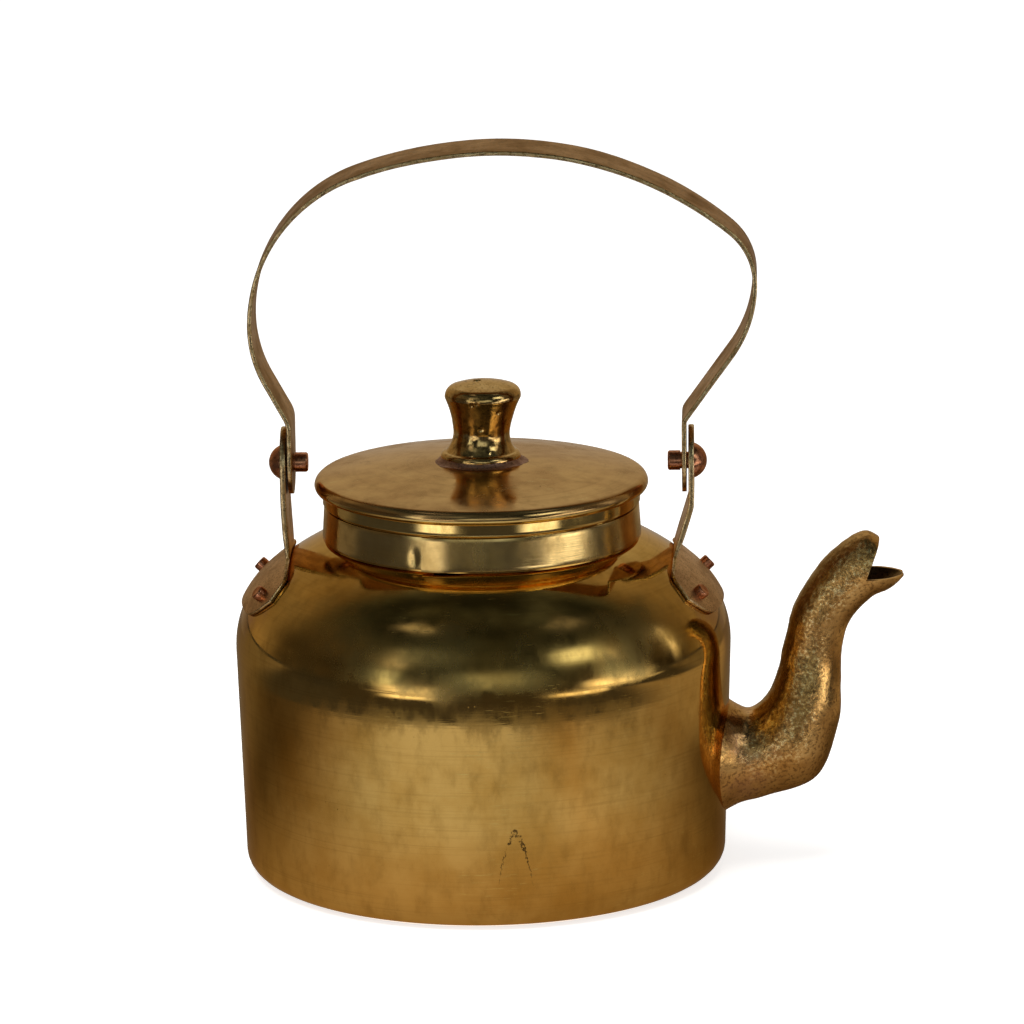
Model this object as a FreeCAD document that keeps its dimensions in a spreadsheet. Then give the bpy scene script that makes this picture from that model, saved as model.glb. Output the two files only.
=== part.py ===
import FreeCAD, Part
import math
import os
import re
import Sketcher

V = FreeCAD.Vector

# Driving sizes in millimetres, turns in degrees

SIZES = {
    # Spun shell: flat base, tapered wall, round shoulder, short neck
    "shell_gauge": 1.2,
    "base_radius": 80.6,
    "corner_radius": 7.2,
    "wall_flare": 2.2,
    "shoulder_height": 77.3,
    "shoulder_radius": 30.9,
    "shoulder_turn": 47.8,
    "crown_radius": 70.0,
    "neck_inset": 30.5,
    "neck_taper": 0.7,
    "neck_rise": 12.04,
    "inlet_radius": 13.0,
    # Band round the neck with its lap seam
    "band_gauge": 0.8,
    "band_seat": 0.06,
    "band_lift": 0.64,
    "band_drop": 0.4,
    "lap_rise": 0.5,
    "lap_drop": 0.45,
    "lap_bearing": -109.5,
    "lap_turn": 15.0,
    # Loose lid with a rolled rim and a skirt that drops into the neck
    "lid_gauge": 1.2,
    "lid_overhang": 3.3,
    "dome_radius": 289.0,
    "rim_lift": 6.0,
    "rim_run": 2.6,
    "rim_rise": 2.9,
    "rim_round": 3.0,
    "rim_cheek": 2.2,
    "lip_overhang": 0.6,
    "lip_land": 0.7,
    "lip_lift": 0.4,
    "lip_wall": 4.0,
    "lip_gauge": 1.2,
    "skirt_clearance": 0.8,
    "skirt_gauge": 0.9,
    "skirt_drop": 9.1,
    # Cast knob on the lid and the braze round its foot
    "lid_seat": 0.02,
    "foot_radius": 13.3,
    "foot_wall": 1.5,
    "foot_round": 1.5,
    "cove_radius": 9.0,
    "waist_radius": 9.45,
    "waist_rise": 9.9,
    "flank_radius": 40.0,
    "flank_rise": 11.4,
    "knob_flare": 3.25,
    "knob_edge_round": 3.6,
    "knob_cap_inset": 2.0,
    "knob_cap_lift": 3.7,
    "knob_cap_round": 34.0,
    "knob_cap_rise": 1.8,
    "pit_radius": 1.3,
    "pit_depth": 2.2,
    "pit_offset": 2.0,
    "braze_width": 1.9,
    "braze_rise": 1.3,
    "braze_round": 2.4,
    # Bracket straps with wide tongues that follow the shoulder
    "strap_gauge": 1.9,
    "strap_width": 24.0,
    "strap_trim": 2.0,
    "strap_embed": 0.4,
    "tongue_gauge": 1.3,
    "tongue_seat": 0.02,
    "tongue_low": 22.0,
    "tongue_span": 66.0,
    "bend_run": 11.1,
    "left_lean_run": 1.1,
    "left_knee_drop": 13.0,
    "right_lean_run": 5.6,
    "right_knee_drop": 13.0,
    "fan_half": 30.9,
    "fan_run": 13.9,
    "fan_drop": 6.48,
    "fan_flank": 6.7,
    "fan_corner": 13.0,
    "fan_crown": 20.8,
    "fan_rise": 10.3,
    # Copper rivets through tongue and shell
    "rivet_seat": 0.02,
    "bore_overrun": 2.0,
    "rivet_inset": 6.3,
    "rivet_spread": 15.0,
    "rivet_skew": 2.5,
    "rivet_shank": 4.0,
    "rivet_head": 8.0,
    "rivet_head_rise": 1.4,
    "rivet_head_round": 6.6,
    "rivet_head_sink": 0.4,
    "rivet_tail": 4.8,
    "rivet_tail_rise": 2.4,
    "rivet_tail_round": 0.5,
    # Copper pivot rivets
    "pivot_rise": 31.22,
    "pivot_shank": 5.6,
    "pivot_head": 11.8,
    "pivot_head_rise": 4.9,
    "pivot_head_round": 6.2,
    "pivot_tail": 6.6,
    "pivot_tail_rise": 4.2,
    "pivot_tail_round": 0.7,
    "pivot_gap": 0.6,
    "pivot_clearance": 0.08,
    # Bail: one flat strip bent into an uneven arch
    "bail_gauge": 1.5,
    "bail_width": 24.0,
    "bail_edge": 0.4,
    "bail_end": 10.5,
    "bail_trim": 3.0,
    "bail_rise": 106.2,
    "bail_top_shift": 7.7,
    "bail_left_run": 11.1,
    "bail_left_lift": 48.0,
    "bail_left_drop": 5.2,
    "bail_left_leg": 40.0,
    "bail_left_lean": 29.0,
    "bail_left_bend": 9.0,
    "bail_right_run": 22.5,
    "bail_right_lift": 62.0,
    "bail_right_drop": 22.2,
    "bail_right_leg": 42.0,
    "bail_right_lean": 36.0,
    "bail_right_bend": 4.0,
    # Cast spout: wall, wall seat and the notch that makes the beak
    "spout_wall": 1.8,
    "spout_lip_wall": 1.3,
    "spout_seat": 0.02,
    "notch_setback": 12.9,
    "notch_lift": 0.6,
    "notch_run": 8.6,
    "notch_rise": 24.0,
    "notch_depth": 30.0,
    "notch_tip_rise": 0.5,
}

# Spout from root to mouth: steps of the upper point, then of the lower point, each out and up.
# The root starts from the wall and the base, every later section from the one before

SPOUT_STEPS = {
    "root": (-6.8, 60.0, -6.8, 15.4),
    "throat": (8.8, -5.9, 9.4, 5.1),
    "heel": (5.0, -0.9, 8.4, 2.3),
    "elbow": (5.4, 5.2, 17.8, 7.0),
    "shin": (3.5, 8.9, 7.2, 18.2),
    "calf": (1.0, 5.0, 0.9, 13.5),
    "narrows": (1.1, 4.6, 0.2, 11.5),
    "bend": (3.4, 12.8, 2.7, 10.2),
    "cheek": (9.0, 14.1, 7.0, 8.0),
    "beak": (8.5, 7.5, 5.8, 3.0),
    "jaw": (6.1, 2.6, 3.0, 2.2),
    "mouth": (4.8, -2.3, 2.2, 2.3),
}

SPOUT_PARTS = ("upper_reach", "upper_height", "lower_reach", "lower_height")


# Shoulder curve shared by shell, tongues and rivets, at a given offset from the shell's outside

def shoulder_across(offset, turn="shoulder_turn"):
    """Reach of a point on the round of the shoulder."""
    return f"wall_radius - shoulder_radius + (shoulder_radius + {offset}) * cos({turn} * 1deg)"


def shoulder_along(offset, turn="shoulder_turn"):
    """Height of a point on the round of the shoulder."""
    return f"shoulder_height + (shoulder_radius + {offset}) * sin({turn} * 1deg)"


CROWN_ACROSS = "(wall_radius - shoulder_radius + (shoulder_radius - crown_radius) * cos(shoulder_turn * 1deg))"
CROWN_ALONG = "(shoulder_height + (shoulder_radius - crown_radius) * sin(shoulder_turn * 1deg))"


def crown_along(reach, offset):
    """Height of the flatter crown of the shoulder at a given reach."""
    return f"{CROWN_ALONG} + sqrt(pow(crown_radius + {offset}; 2) - pow({reach} - {CROWN_ACROSS}; 2))"


def dome_along(reach, offset):
    """Height of the lid's dome at a given reach."""
    return f"lid_top - dome_radius + sqrt(pow(dome_radius + {offset}; 2) - pow({reach}; 2))"


# Places that follow from the driving sizes, from the wall inwards and from the base upwards

FOLLOWING = {
    "wall_radius": "base_radius + wall_flare",
    "neck_radius": "wall_radius - neck_inset",
    "neck_foot": crown_along("neck_radius", "0"),
    "neck_top": "neck_foot + neck_rise",
    "band_foot": "neck_foot + band_lift",
    "band_top": "neck_top - band_drop",
    "lap_foot": "band_foot - lap_drop",
    "lid_radius": "neck_radius + lid_overhang",
    "lip_radius": "neck_radius + lip_overhang",
    "lip_bore": "neck_radius - neck_taper - lip_land",
    "lip_foot": "neck_top + lip_lift",
    "lid_rim_height": "lip_foot + rim_lift",
    "dome_edge": "lid_radius - rim_run",
    "lid_top": "lid_rim_height + rim_rise + dome_radius - sqrt(pow(dome_radius; 2) - pow(dome_edge; 2))",
    "skirt_radius": "neck_radius - neck_taper - shell_gauge - skirt_clearance",
    "skirt_foot": "neck_top - skirt_drop",
    "waist_height": "lid_top + waist_rise",
    "knob_radius": "waist_radius + knob_flare",
    "knob_edge_height": "waist_height + flank_rise",
    "knob_cap_radius": "knob_radius - knob_cap_inset",
    "knob_cap_height": "knob_edge_height + knob_cap_lift",
    "knob_top": "knob_cap_height + knob_cap_rise",
    "rivet_rise": "shoulder_turn - rivet_inset",
    "fan_foot": shoulder_along("0", "rivet_rise") + " - fan_drop",
    "fan_waist": "fan_foot + fan_flank",
    "fan_top": "fan_waist + fan_rise",
    "bend_reach": "neck_radius + bend_run",
    "pivot_height": crown_along("bend_reach", "0") + " + pivot_rise",
    "left_reach": "bend_reach + left_lean_run",
    "left_knee": "pivot_height - left_knee_drop",
    "right_reach": "bend_reach + right_lean_run",
    "right_knee": "pivot_height - right_knee_drop",
    "bail_top": "pivot_height + bail_rise",
    "bail_left_bulge": "left_reach + bail_left_run",
    "bail_left_bulge_height": "pivot_height + bail_left_lift",
    "bail_left_side": "bail_rise - bail_left_lift - bail_left_drop",
    "bail_right_bulge": "right_reach + bail_right_run",
    "bail_right_bulge_height": "pivot_height + bail_right_lift",
    "bail_right_side": "bail_rise - bail_right_lift - bail_right_drop",
}

before = ("wall_radius + ", "", "wall_radius + ", "")
for station, steps in SPOUT_STEPS.items():
    for part, start, step in zip(SPOUT_PARTS, before, steps):
        SIZES[f"spout_{station}_{part}_step"] = step
        FOLLOWING[f"spout_{station}_{part}"] = f"{start}spout_{station}_{part}_step"
    before = [f"spout_{station}_{part} + " for part in SPOUT_PARTS]

FOLLOWING["inlet_height"] = "(spout_root_upper_height + spout_root_lower_height) / 2"
FOLLOWING["notch_reach"] = "spout_mouth_lower_reach - notch_setback"
FOLLOWING["notch_height"] = "spout_mouth_lower_height + notch_lift"

doc = FreeCAD.newDocument("kettle")
sheet = doc.addObject("Spreadsheet::Sheet", "sizes")
cells = {alias: str(value) for alias, value in SIZES.items()}
cells.update({alias: f"={text}" for alias, text in FOLLOWING.items()})
for row, (alias, text) in enumerate(cells.items(), start=1):
    sheet.set(f"A{row}", alias)
    sheet.setAlias(f"B{row}", alias)
    sheet.set(f"B{row}", text)
doc.recompute()

nodes = []


# Helpers that tie sketches and features to the sheet

def bound(text):
    """Expression with every size name pointed at the sheet."""
    return re.sub(r"[a-z][a-z_]+", lambda word: f"sizes.{word[0]}" if word[0] in cells else word[0], text)


def number(text):
    """Present value of an expression."""
    value = sheet.evalExpression(bound(text))
    return float(getattr(value, "Value", value))


def new_body(name):
    """Body with its own label, kept as a node."""
    body = doc.addObject("PartDesign::Body", name)
    body.Label = name
    nodes.append(body)
    return body


def new_sketch(body, name, role, offset=None):
    """Sketch on one of the body's own origin planes, shifted by an expression."""
    sketch = body.newObject("Sketcher::SketchObject", name)
    sketch.AttachmentSupport = [(next(p for p in body.Origin.OriginFeatures if p.Role == role), "")]
    sketch.MapMode = "FlatFace"
    if offset:
        sketch.setExpression("AttachmentOffset", bound(offset))
    return sketch


def bind(sketch, constraint, text):
    """Add a constraint whose value comes from an expression."""
    index = sketch.addConstraint(constraint)
    sketch.setExpression(f"Constraints[{index}]", bound(text))


def pin(sketch, edge, end, across, along):
    """Fix one end of an edge by its two coordinates."""
    if across == "0":
        sketch.addConstraint(Sketcher.Constraint("PointOnObject", edge, end, -2))
    else:
        bind(sketch, Sketcher.Constraint("DistanceX", -1, 1, edge, end, number(across)), across)
    if along == "0":
        sketch.addConstraint(Sketcher.Constraint("PointOnObject", edge, end, -1))
    else:
        bind(sketch, Sketcher.Constraint("DistanceY", -1, 1, edge, end, number(along)), along)


def short_arc(first, last, radius):
    """Counter-clockwise arc of under half a turn between two points."""
    chord = last - first
    half = chord.Length / 2
    left = V(-chord.y, chord.x, 0).normalize()
    centre = (first + last) / 2 + left * math.sqrt(max(radius * radius - half * half, 0))
    start = math.atan2(first.y - centre.y, first.x - centre.x)
    stop = math.atan2(last.y - centre.y, last.x - centre.x)
    return Part.ArcOfCircle(Part.Circle(centre, V(0, 0, 1), radius), start, stop)


def outline(sketch, corners):
    """Closed outline; a corner may add the sense and radius of the arc that leaves it."""
    base = sketch.GeometryCount
    count = len(corners)
    spots = [V(number(corner[0]), number(corner[1]), 0) for corner in corners]
    ends = []
    for place, corner in enumerate(corners):
        here, there = spots[place], spots[(place + 1) % count]
        if len(corner) == 2:
            sketch.addGeometry(Part.LineSegment(here, there))
            ends.append((1, 2))
        elif corner[2] == "ccw":
            sketch.addGeometry(short_arc(here, there, number(corner[3])))
            ends.append((1, 2))
        else:
            sketch.addGeometry(short_arc(there, here, number(corner[3])))
            ends.append((2, 1))
    for place in range(count):
        after = (place + 1) % count
        sketch.addConstraint(
            Sketcher.Constraint("Coincident", base + place, ends[place][1], base + after, ends[after][0])
        )
    for place, corner in enumerate(corners):
        pin(sketch, base + place, ends[place][0], corner[0], corner[1])
        if len(corner) > 2:
            bind(sketch, Sketcher.Constraint("Radius", base + place, number(corner[3])), corner[3])


def circle(sketch, across, along, radius):
    """Circle fixed by its centre and radius."""
    place = sketch.addGeometry(Part.Circle(V(number(across), number(along), 0), V(0, 0, 1), number(radius)))
    pin(sketch, place, 3, across, along)
    bind(sketch, Sketcher.Constraint("Radius", place, number(radius)), radius)


def revolve(body, sketch, kind="Revolution", axis="V_Axis", turn=None, centred=False):
    """Turned solid or turned cut about one of the sketch's axes."""
    feature = body.newObject(f"PartDesign::{kind}", f"{sketch.Name}_turned")
    feature.Profile = sketch
    feature.ReferenceAxis = (sketch, [axis])
    feature.Midplane = centred
    if turn:
        feature.setExpression("Angle", bound(turn))
    return feature


def cut(body, sketch, depth=None, forward=False, both=False):
    """Pocket along the sketch normal, through everything unless a depth is given."""
    feature = body.newObject("PartDesign::Pocket", f"{sketch.Name}_cut")
    feature.Profile = sketch
    feature.SideType = "Symmetric" if both else "One side"
    feature.Reversed = forward
    feature.Type = "Length" if depth else "ThroughAll"
    if depth:
        feature.setExpression("Length", bound(depth))
    return feature


def rivet_frame(bearing):
    """Placement whose third axis stands square to the shoulder at a bearing."""
    ring = "(wall_radius - shoulder_radius)"
    base = f"vector({ring} * cos({bearing}); {ring} * sin({bearing}); shoulder_height)"
    tilt = f"rotation(vector(-sin({bearing}); cos({bearing}); 0); 90deg - rivet_rise * 1deg)"
    return f"placement({base}; {tilt})"


RIVETS = {
    "rivet_right_front": "(0 - rivet_spread - rivet_skew) * 1deg",
    "rivet_right_rear": "(rivet_spread - rivet_skew) * 1deg",
    "rivet_left_front": "(180 + rivet_spread + rivet_skew) * 1deg",
    "rivet_left_rear": "(180 - rivet_spread + rivet_skew) * 1deg",
}

# Shell: one spun sheet from the base to the neck

shell = new_body("body_shell")
wall = new_sketch(shell, "shell_outline", "XZ_Plane")
outline(wall, [
    ("0", "0"),
    ("base_radius - corner_radius", "0", "ccw", "corner_radius"),
    ("base_radius", "corner_radius"),
    ("wall_radius", "shoulder_height", "ccw", "shoulder_radius"),
    (shoulder_across("0"), shoulder_along("0"), "ccw", "crown_radius"),
    ("neck_radius", crown_along("neck_radius", "0")),
    ("neck_radius - neck_taper", "neck_top"),
    ("neck_radius - neck_taper - shell_gauge", "neck_top"),
    ("neck_radius - shell_gauge", crown_along("(neck_radius - shell_gauge)", "(0 - shell_gauge)"),
     "cw", "crown_radius - shell_gauge"),
    (shoulder_across("(0 - shell_gauge)"), shoulder_along("(0 - shell_gauge)"),
     "cw", "shoulder_radius - shell_gauge"),
    ("wall_radius - shell_gauge", "shoulder_height"),
    ("base_radius - shell_gauge", "corner_radius", "cw", "corner_radius - shell_gauge"),
    ("base_radius - corner_radius", "shell_gauge"),
    ("0", "shell_gauge"),
])
revolve(shell, wall)
inlet = new_sketch(shell, "spout_inlet", "YZ_Plane")
circle(inlet, "0", "inlet_height", "inlet_radius")
cut(shell, inlet, forward=True)
for name, bearing in RIVETS.items():
    bore = new_sketch(shell, f"shell_bore_{name}", "XY_Plane", rivet_frame(bearing))
    circle(bore, "0", "0", "rivet_shank / 2 + rivet_seat")
    cut(shell, bore, depth="shoulder_radius + bore_overrun", forward=True)

# Neck band: slightly conical strip with one end lapped over the other

band = new_body("neck_band")
strip = new_sketch(band, "band_section", "XZ_Plane")
outline(strip, [
    ("neck_radius + band_seat", "band_foot"),
    ("neck_radius + band_seat + band_gauge", "band_foot"),
    ("neck_radius - neck_taper + band_seat + band_gauge", "band_top"),
    ("neck_radius - neck_taper + band_seat", "band_top"),
])
revolve(band, strip)
lap = new_sketch(
    band, "lap_section", "XZ_Plane",
    "placement(vector(0; 0; 0); rotation(vector(0; 1; 0); lap_bearing * 1deg))",
)
outline(lap, [
    ("neck_radius + band_seat", "lap_foot"),
    ("neck_radius + band_seat + band_gauge + lap_rise", "lap_foot"),
    ("neck_radius - neck_taper + band_seat + band_gauge + lap_rise", "band_top"),
    ("neck_radius - neck_taper + band_seat", "band_top"),
])
revolve(band, lap, turn="lap_turn")

# Spout: cast tube lofted through round sections, hollowed, seated on the wall and notched into a beak

spout = new_body("spout")


def spout_section(station, suffix, thinner):
    """Round section of the spout between its upper and lower points."""
    high_x, high_z = f"spout_{station}_upper_reach", f"spout_{station}_upper_height"
    low_x, low_z = f"spout_{station}_lower_reach", f"spout_{station}_lower_height"
    sketch = new_sketch(
        spout, f"spout_{station}_{suffix}", "YZ_Plane",
        f"placement(vector(0; ({high_z} + {low_z}) / 2; ({high_x} + {low_x}) / 2);"
        f" rotation(vector(1; 0; 0); atan2({high_x} - {low_x}; {high_z} - {low_z})))",
    )
    radius = f"(sqrt(pow({high_x} - {low_x}; 2) + pow({high_z} - {low_z}; 2)) / 2 - {thinner})"
    outline(sketch, [
        ("0", radius, "ccw", radius),
        (f"0 - {radius}", "0", "ccw", radius),
        ("0", f"0 - {radius}", "ccw", radius),
        (radius, "0", "ccw", radius),
    ])
    return sketch


def spout_loft(kind, suffix, thinner_by_station):
    """Loft through all the spout's sections."""
    sections = [spout_section(name, suffix, thinner) for name, thinner in thinner_by_station.items()]
    feature = spout.newObject(f"PartDesign::{kind}", f"spout_{suffix}")
    feature.Profile = sections[0]
    feature.Sections = sections[1:]
    return feature


spout_loft("AdditiveLoft", "skin", {name: "0" for name in SPOUT_STEPS})
bore_walls = {name: "spout_wall" for name in SPOUT_STEPS}
bore_walls["mouth"] = "spout_lip_wall"
spout_loft("SubtractiveLoft", "bore", bore_walls)
seat = new_sketch(spout, "spout_wall_seat", "XZ_Plane")
outline(seat, [
    ("0", "corner_radius"),
    ("base_radius + spout_seat", "corner_radius"),
    ("wall_radius + spout_seat", "shoulder_height"),
    ("0", "shoulder_height"),
])
revolve(spout, seat, kind="Groove")
notch = new_sketch(spout, "beak_notch", "XZ_Plane")
outline(notch, [
    ("notch_reach", "notch_height"),
    ("notch_reach + notch_depth", "notch_height + notch_tip_rise"),
    ("notch_reach + notch_depth", "notch_height + notch_rise"),
    ("notch_reach + notch_run", "notch_height + notch_rise"),
])
cut(spout, notch, both=True)

# Lid disc: shallow dome, rounded rim, lip turned in below

lid = new_body("lid_disc")
disc = new_sketch(lid, "lid_outline", "XZ_Plane")
outline(disc, [
    ("0", "lid_top - lid_gauge", "cw", "dome_radius - lid_gauge"),
    ("dome_edge", dome_along("dome_edge", "(0 - lid_gauge)"),
     "cw", "rim_round - lid_gauge / 2"),
    ("lid_radius - lid_gauge", "lid_rim_height"),
    ("lip_radius - lip_gauge", "lip_foot + lip_wall + lip_gauge"),
    ("lip_bore", "lip_foot + lip_gauge"),
    ("lip_bore", "lip_foot"),
    ("lip_radius", "lip_foot"),
    ("lip_radius", "lip_foot + lip_wall", "ccw", "rim_cheek"),
    ("lid_radius", "lid_rim_height", "ccw", "rim_round"),
    ("dome_edge", dome_along("dome_edge", "0"), "ccw", "dome_radius"),
    ("0", "lid_top"),
])
revolve(lid, disc)

# Skirt: plain ring under the lid that drops into the neck

skirt = new_body("lid_skirt")
ring = new_sketch(skirt, "skirt_section", "XZ_Plane")
skirt_crest = dome_along("skirt_radius", "(0 - lid_gauge)") + " - lid_seat"
outline(ring, [
    ("skirt_radius - skirt_gauge", "skirt_foot"),
    ("skirt_radius", "skirt_foot"),
    ("skirt_radius", skirt_crest),
    ("skirt_radius - skirt_gauge", skirt_crest),
])
revolve(skirt, ring)

# Knob: cast, with a bead at the foot, a waist and a domed cap with a casting pit

knob = new_body("lid_knob")
turned = new_sketch(knob, "knob_outline", "XZ_Plane")
outline(turned, [
    ("0", "lid_top + lid_seat", "cw", "dome_radius + lid_seat"),
    ("foot_radius", dome_along("foot_radius", "lid_seat")),
    ("foot_radius", "lid_top + foot_wall", "ccw", "foot_round"),
    ("foot_radius - foot_round", "lid_top + foot_wall + foot_round", "cw", "cove_radius"),
    ("waist_radius", "waist_height", "cw", "flank_radius"),
    ("knob_radius", "knob_edge_height", "ccw", "knob_edge_round"),
    ("knob_cap_radius", "knob_cap_height", "ccw", "knob_cap_round"),
    ("0", "knob_top"),
])
revolve(knob, turned)
pit = new_sketch(knob, "knob_pit", "XY_Plane", "placement(vector(0; 0; knob_top); rotation(vector(0; 0; 1); 0))")
circle(pit, "0 - pit_offset", "0", "pit_radius")
cut(knob, pit, depth="pit_depth")

# Braze: hollow-faced ring round the knob's foot

braze = new_body("knob_braze")
fillet = new_sketch(braze, "braze_section", "XZ_Plane")
outline(fillet, [
    ("foot_radius + lid_seat", dome_along("(foot_radius + lid_seat)", "lid_seat"), "cw", "dome_radius + lid_seat"),
    ("foot_radius + braze_width", dome_along("(foot_radius + braze_width)", "lid_seat"), "cw", "braze_round"),
    ("foot_radius + lid_seat", "lid_top + braze_rise"),
])
revolve(braze, fillet)

# Brackets: tongue turned to the shoulder's curve, flat strap, then one outline trims both


def bracket(name, reach, knee, bearings):
    """Bracket drawn on the spout's side of the kettle, with rivet holes at two bearings."""
    body = new_body(name)
    inner, outer = "tongue_seat", "(tongue_seat + tongue_gauge)"
    inset = "bend_reach - strap_trim"
    tongue = new_sketch(body, f"{name}_tongue", "XZ_Plane")
    outline(tongue, [
        (shoulder_across(inner, "tongue_low"), shoulder_along(inner, "tongue_low"),
         "ccw", f"shoulder_radius + {inner}"),
        (shoulder_across(inner), shoulder_along(inner), "ccw", f"crown_radius + {inner}"),
        (inset, crown_along(f"({inset})", inner)),
        (inset, crown_along(f"({inset})", outer), "cw", f"crown_radius + {outer}"),
        (shoulder_across(outer), shoulder_along(outer), "cw", f"shoulder_radius + {outer}"),
        (shoulder_across(outer, "tongue_low"), shoulder_along(outer, "tongue_low")),
    ])
    revolve(body, tongue, turn="tongue_span", centred=True)
    strap = new_sketch(body, f"{name}_strap", "XZ_Plane")
    foot = "(bend_reach + strap_gauge)"
    outline(strap, [
        ("bend_reach", crown_along("bend_reach", inner) + " + strap_embed"),
        ("bend_reach + strap_gauge", crown_along(foot, inner) + " + strap_embed"),
        (f"{reach} + strap_gauge", knee),
        (f"{reach} + strap_gauge", "pivot_height + strap_width / 2 + strap_trim"),
        (reach, "pivot_height + strap_width / 2 + strap_trim"),
        (reach, knee),
    ])
    upright = body.newObject("PartDesign::Pad", f"{name}_upright")
    upright.Profile = strap
    upright.SideType = "Symmetric"
    upright.setExpression("Length", bound("strap_width + strap_trim"))
    bend = new_sketch(body, f"{name}_bend_line", "XZ_Plane")
    outline(bend, [
        ("neck_radius", "shoulder_height"),
        ("bend_reach", "shoulder_height"),
        ("bend_reach", "pivot_height + strap_width"),
        ("neck_radius", "pivot_height + strap_width"),
    ])
    cut(body, bend, both=True)
    trim = new_sketch(body, f"{name}_trim", "YZ_Plane")
    side = "fan_half + strap_width"
    outline(trim, [
        (f"0 - ({side})", "shoulder_height"),
        (side, "shoulder_height"),
        (side, "pivot_height + strap_width"),
        (f"0 - ({side})", "pivot_height + strap_width"),
    ])
    outline(trim, [
        ("0 - (fan_half - fan_run)", "fan_foot"),
        ("fan_half - fan_run", "fan_foot", "ccw", "fan_corner"),
        ("fan_half", "fan_waist", "ccw", "fan_crown"),
        ("strap_width / 2", "fan_top"),
        ("strap_width / 2", "pivot_height", "ccw", "strap_width / 2"),
        ("0", "pivot_height + strap_width / 2", "ccw", "strap_width / 2"),
        ("0 - strap_width / 2", "pivot_height"),
        ("0 - strap_width / 2", "fan_top", "ccw", "fan_crown"),
        ("0 - fan_half", "fan_waist", "ccw", "fan_corner"),
    ])
    cut(body, trim, forward=True)
    eye = new_sketch(body, f"{name}_eye", "YZ_Plane")
    circle(eye, "0", "pivot_height", "pivot_shank / 2 + rivet_seat")
    cut(body, eye, forward=True)
    for end, bearing in bearings.items():
        hole = new_sketch(body, f"{name}_hole_{end}", "XY_Plane", rivet_frame(bearing))
        circle(hole, "0", "0", "rivet_shank / 2 + rivet_seat")
        cut(body, hole, depth="shoulder_radius + tongue_gauge + bore_overrun", forward=True)
    return body


HALF_TURN = "rotation(vector(0; 0; 1); 180deg)"
bracket("bracket_right", "right_reach", "right_knee", {
    "front": RIVETS["rivet_right_front"],
    "rear": RIVETS["rivet_right_rear"],
})
bracket_left = bracket("bracket_left", "left_reach", "left_knee", {
    "front": f"({RIVETS['rivet_left_front']} - 180deg)",
    "rear": f"({RIVETS['rivet_left_rear']} - 180deg)",
})
bracket_left.setExpression("Placement", f"placement(vector(0; 0; 0); {HALF_TURN})")

# Tongue rivets: low head inside the shell, plain tail outside the tongue

for name, bearing in RIVETS.items():
    rivet = new_body(name)
    section = new_sketch(rivet, f"{name}_outline", "XZ_Plane")
    under_head = "shoulder_radius - shell_gauge - rivet_head_sink"
    under_tail = "shoulder_radius + tongue_seat + tongue_gauge + rivet_seat"
    outline(section, [
        ("0", f"{under_head} - rivet_head_rise", "ccw", "rivet_head_round"),
        ("rivet_head / 2", under_head),
        ("rivet_shank / 2", under_head),
        ("rivet_shank / 2", under_tail),
        ("rivet_tail / 2", under_tail),
        ("rivet_tail / 2", f"{under_tail} + rivet_tail_rise - rivet_tail_round", "ccw", "rivet_tail_round"),
        ("rivet_tail / 2 - rivet_tail_round", f"{under_tail} + rivet_tail_rise"),
        ("0", f"{under_tail} + rivet_tail_rise"),
    ])
    revolve(rivet, section)
    rivet.setExpression("Placement", bound(rivet_frame(bearing)))

# Pivot rivets: dome head outside the bracket, upset tail inside the bail

for name, reach, turn in (
    ("pivot_rivet_right", "right_reach", "rotation(vector(0; 0; 1); 0deg)"),
    ("pivot_rivet_left", "left_reach", HALF_TURN),
):
    pivot = new_body(name)
    section = new_sketch(pivot, f"{name}_outline", "XZ_Plane")
    under_head = f"{reach} + strap_gauge + rivet_seat"
    at_bail = f"{reach} - pivot_gap - bail_gauge - pivot_gap"
    outline(section, [
        (f"{at_bail} - pivot_tail_rise", "0"),
        (f"{under_head} + pivot_head_rise", "0", "ccw", "pivot_head_round"),
        (under_head, "pivot_head / 2"),
        (under_head, "pivot_shank / 2"),
        (at_bail, "pivot_shank / 2"),
        (at_bail, "pivot_tail / 2"),
        (f"{at_bail} - pivot_tail_rise + pivot_tail_round", "pivot_tail / 2", "ccw", "pivot_tail_round"),
        (f"{at_bail} - pivot_tail_rise", "pivot_tail / 2 - pivot_tail_round"),
    ])
    revolve(pivot, section, axis="H_Axis")
    pivot.setExpression("Placement", bound(f"placement(vector(0; 0; pivot_height); {turn})"))

# Bail: flat section drawn along a chain of tangent lines and arcs, then end rounds and pivot eyes

bail = new_body("bail_handle")
BAIL_FOOT = "(pivot_height - bail_end)"
END_ROUND = "(pow(bail_width / 2; 2) + pow(bail_end; 2)) / (2 * bail_end)"
LEG = {
    "left": "0 - (left_reach - pivot_gap - bail_gauge / 2)",
    "right": "right_reach - pivot_gap - bail_gauge / 2",
}
BULGE = {"left": "0 - bail_left_bulge", "right": "bail_right_bulge"}


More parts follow.
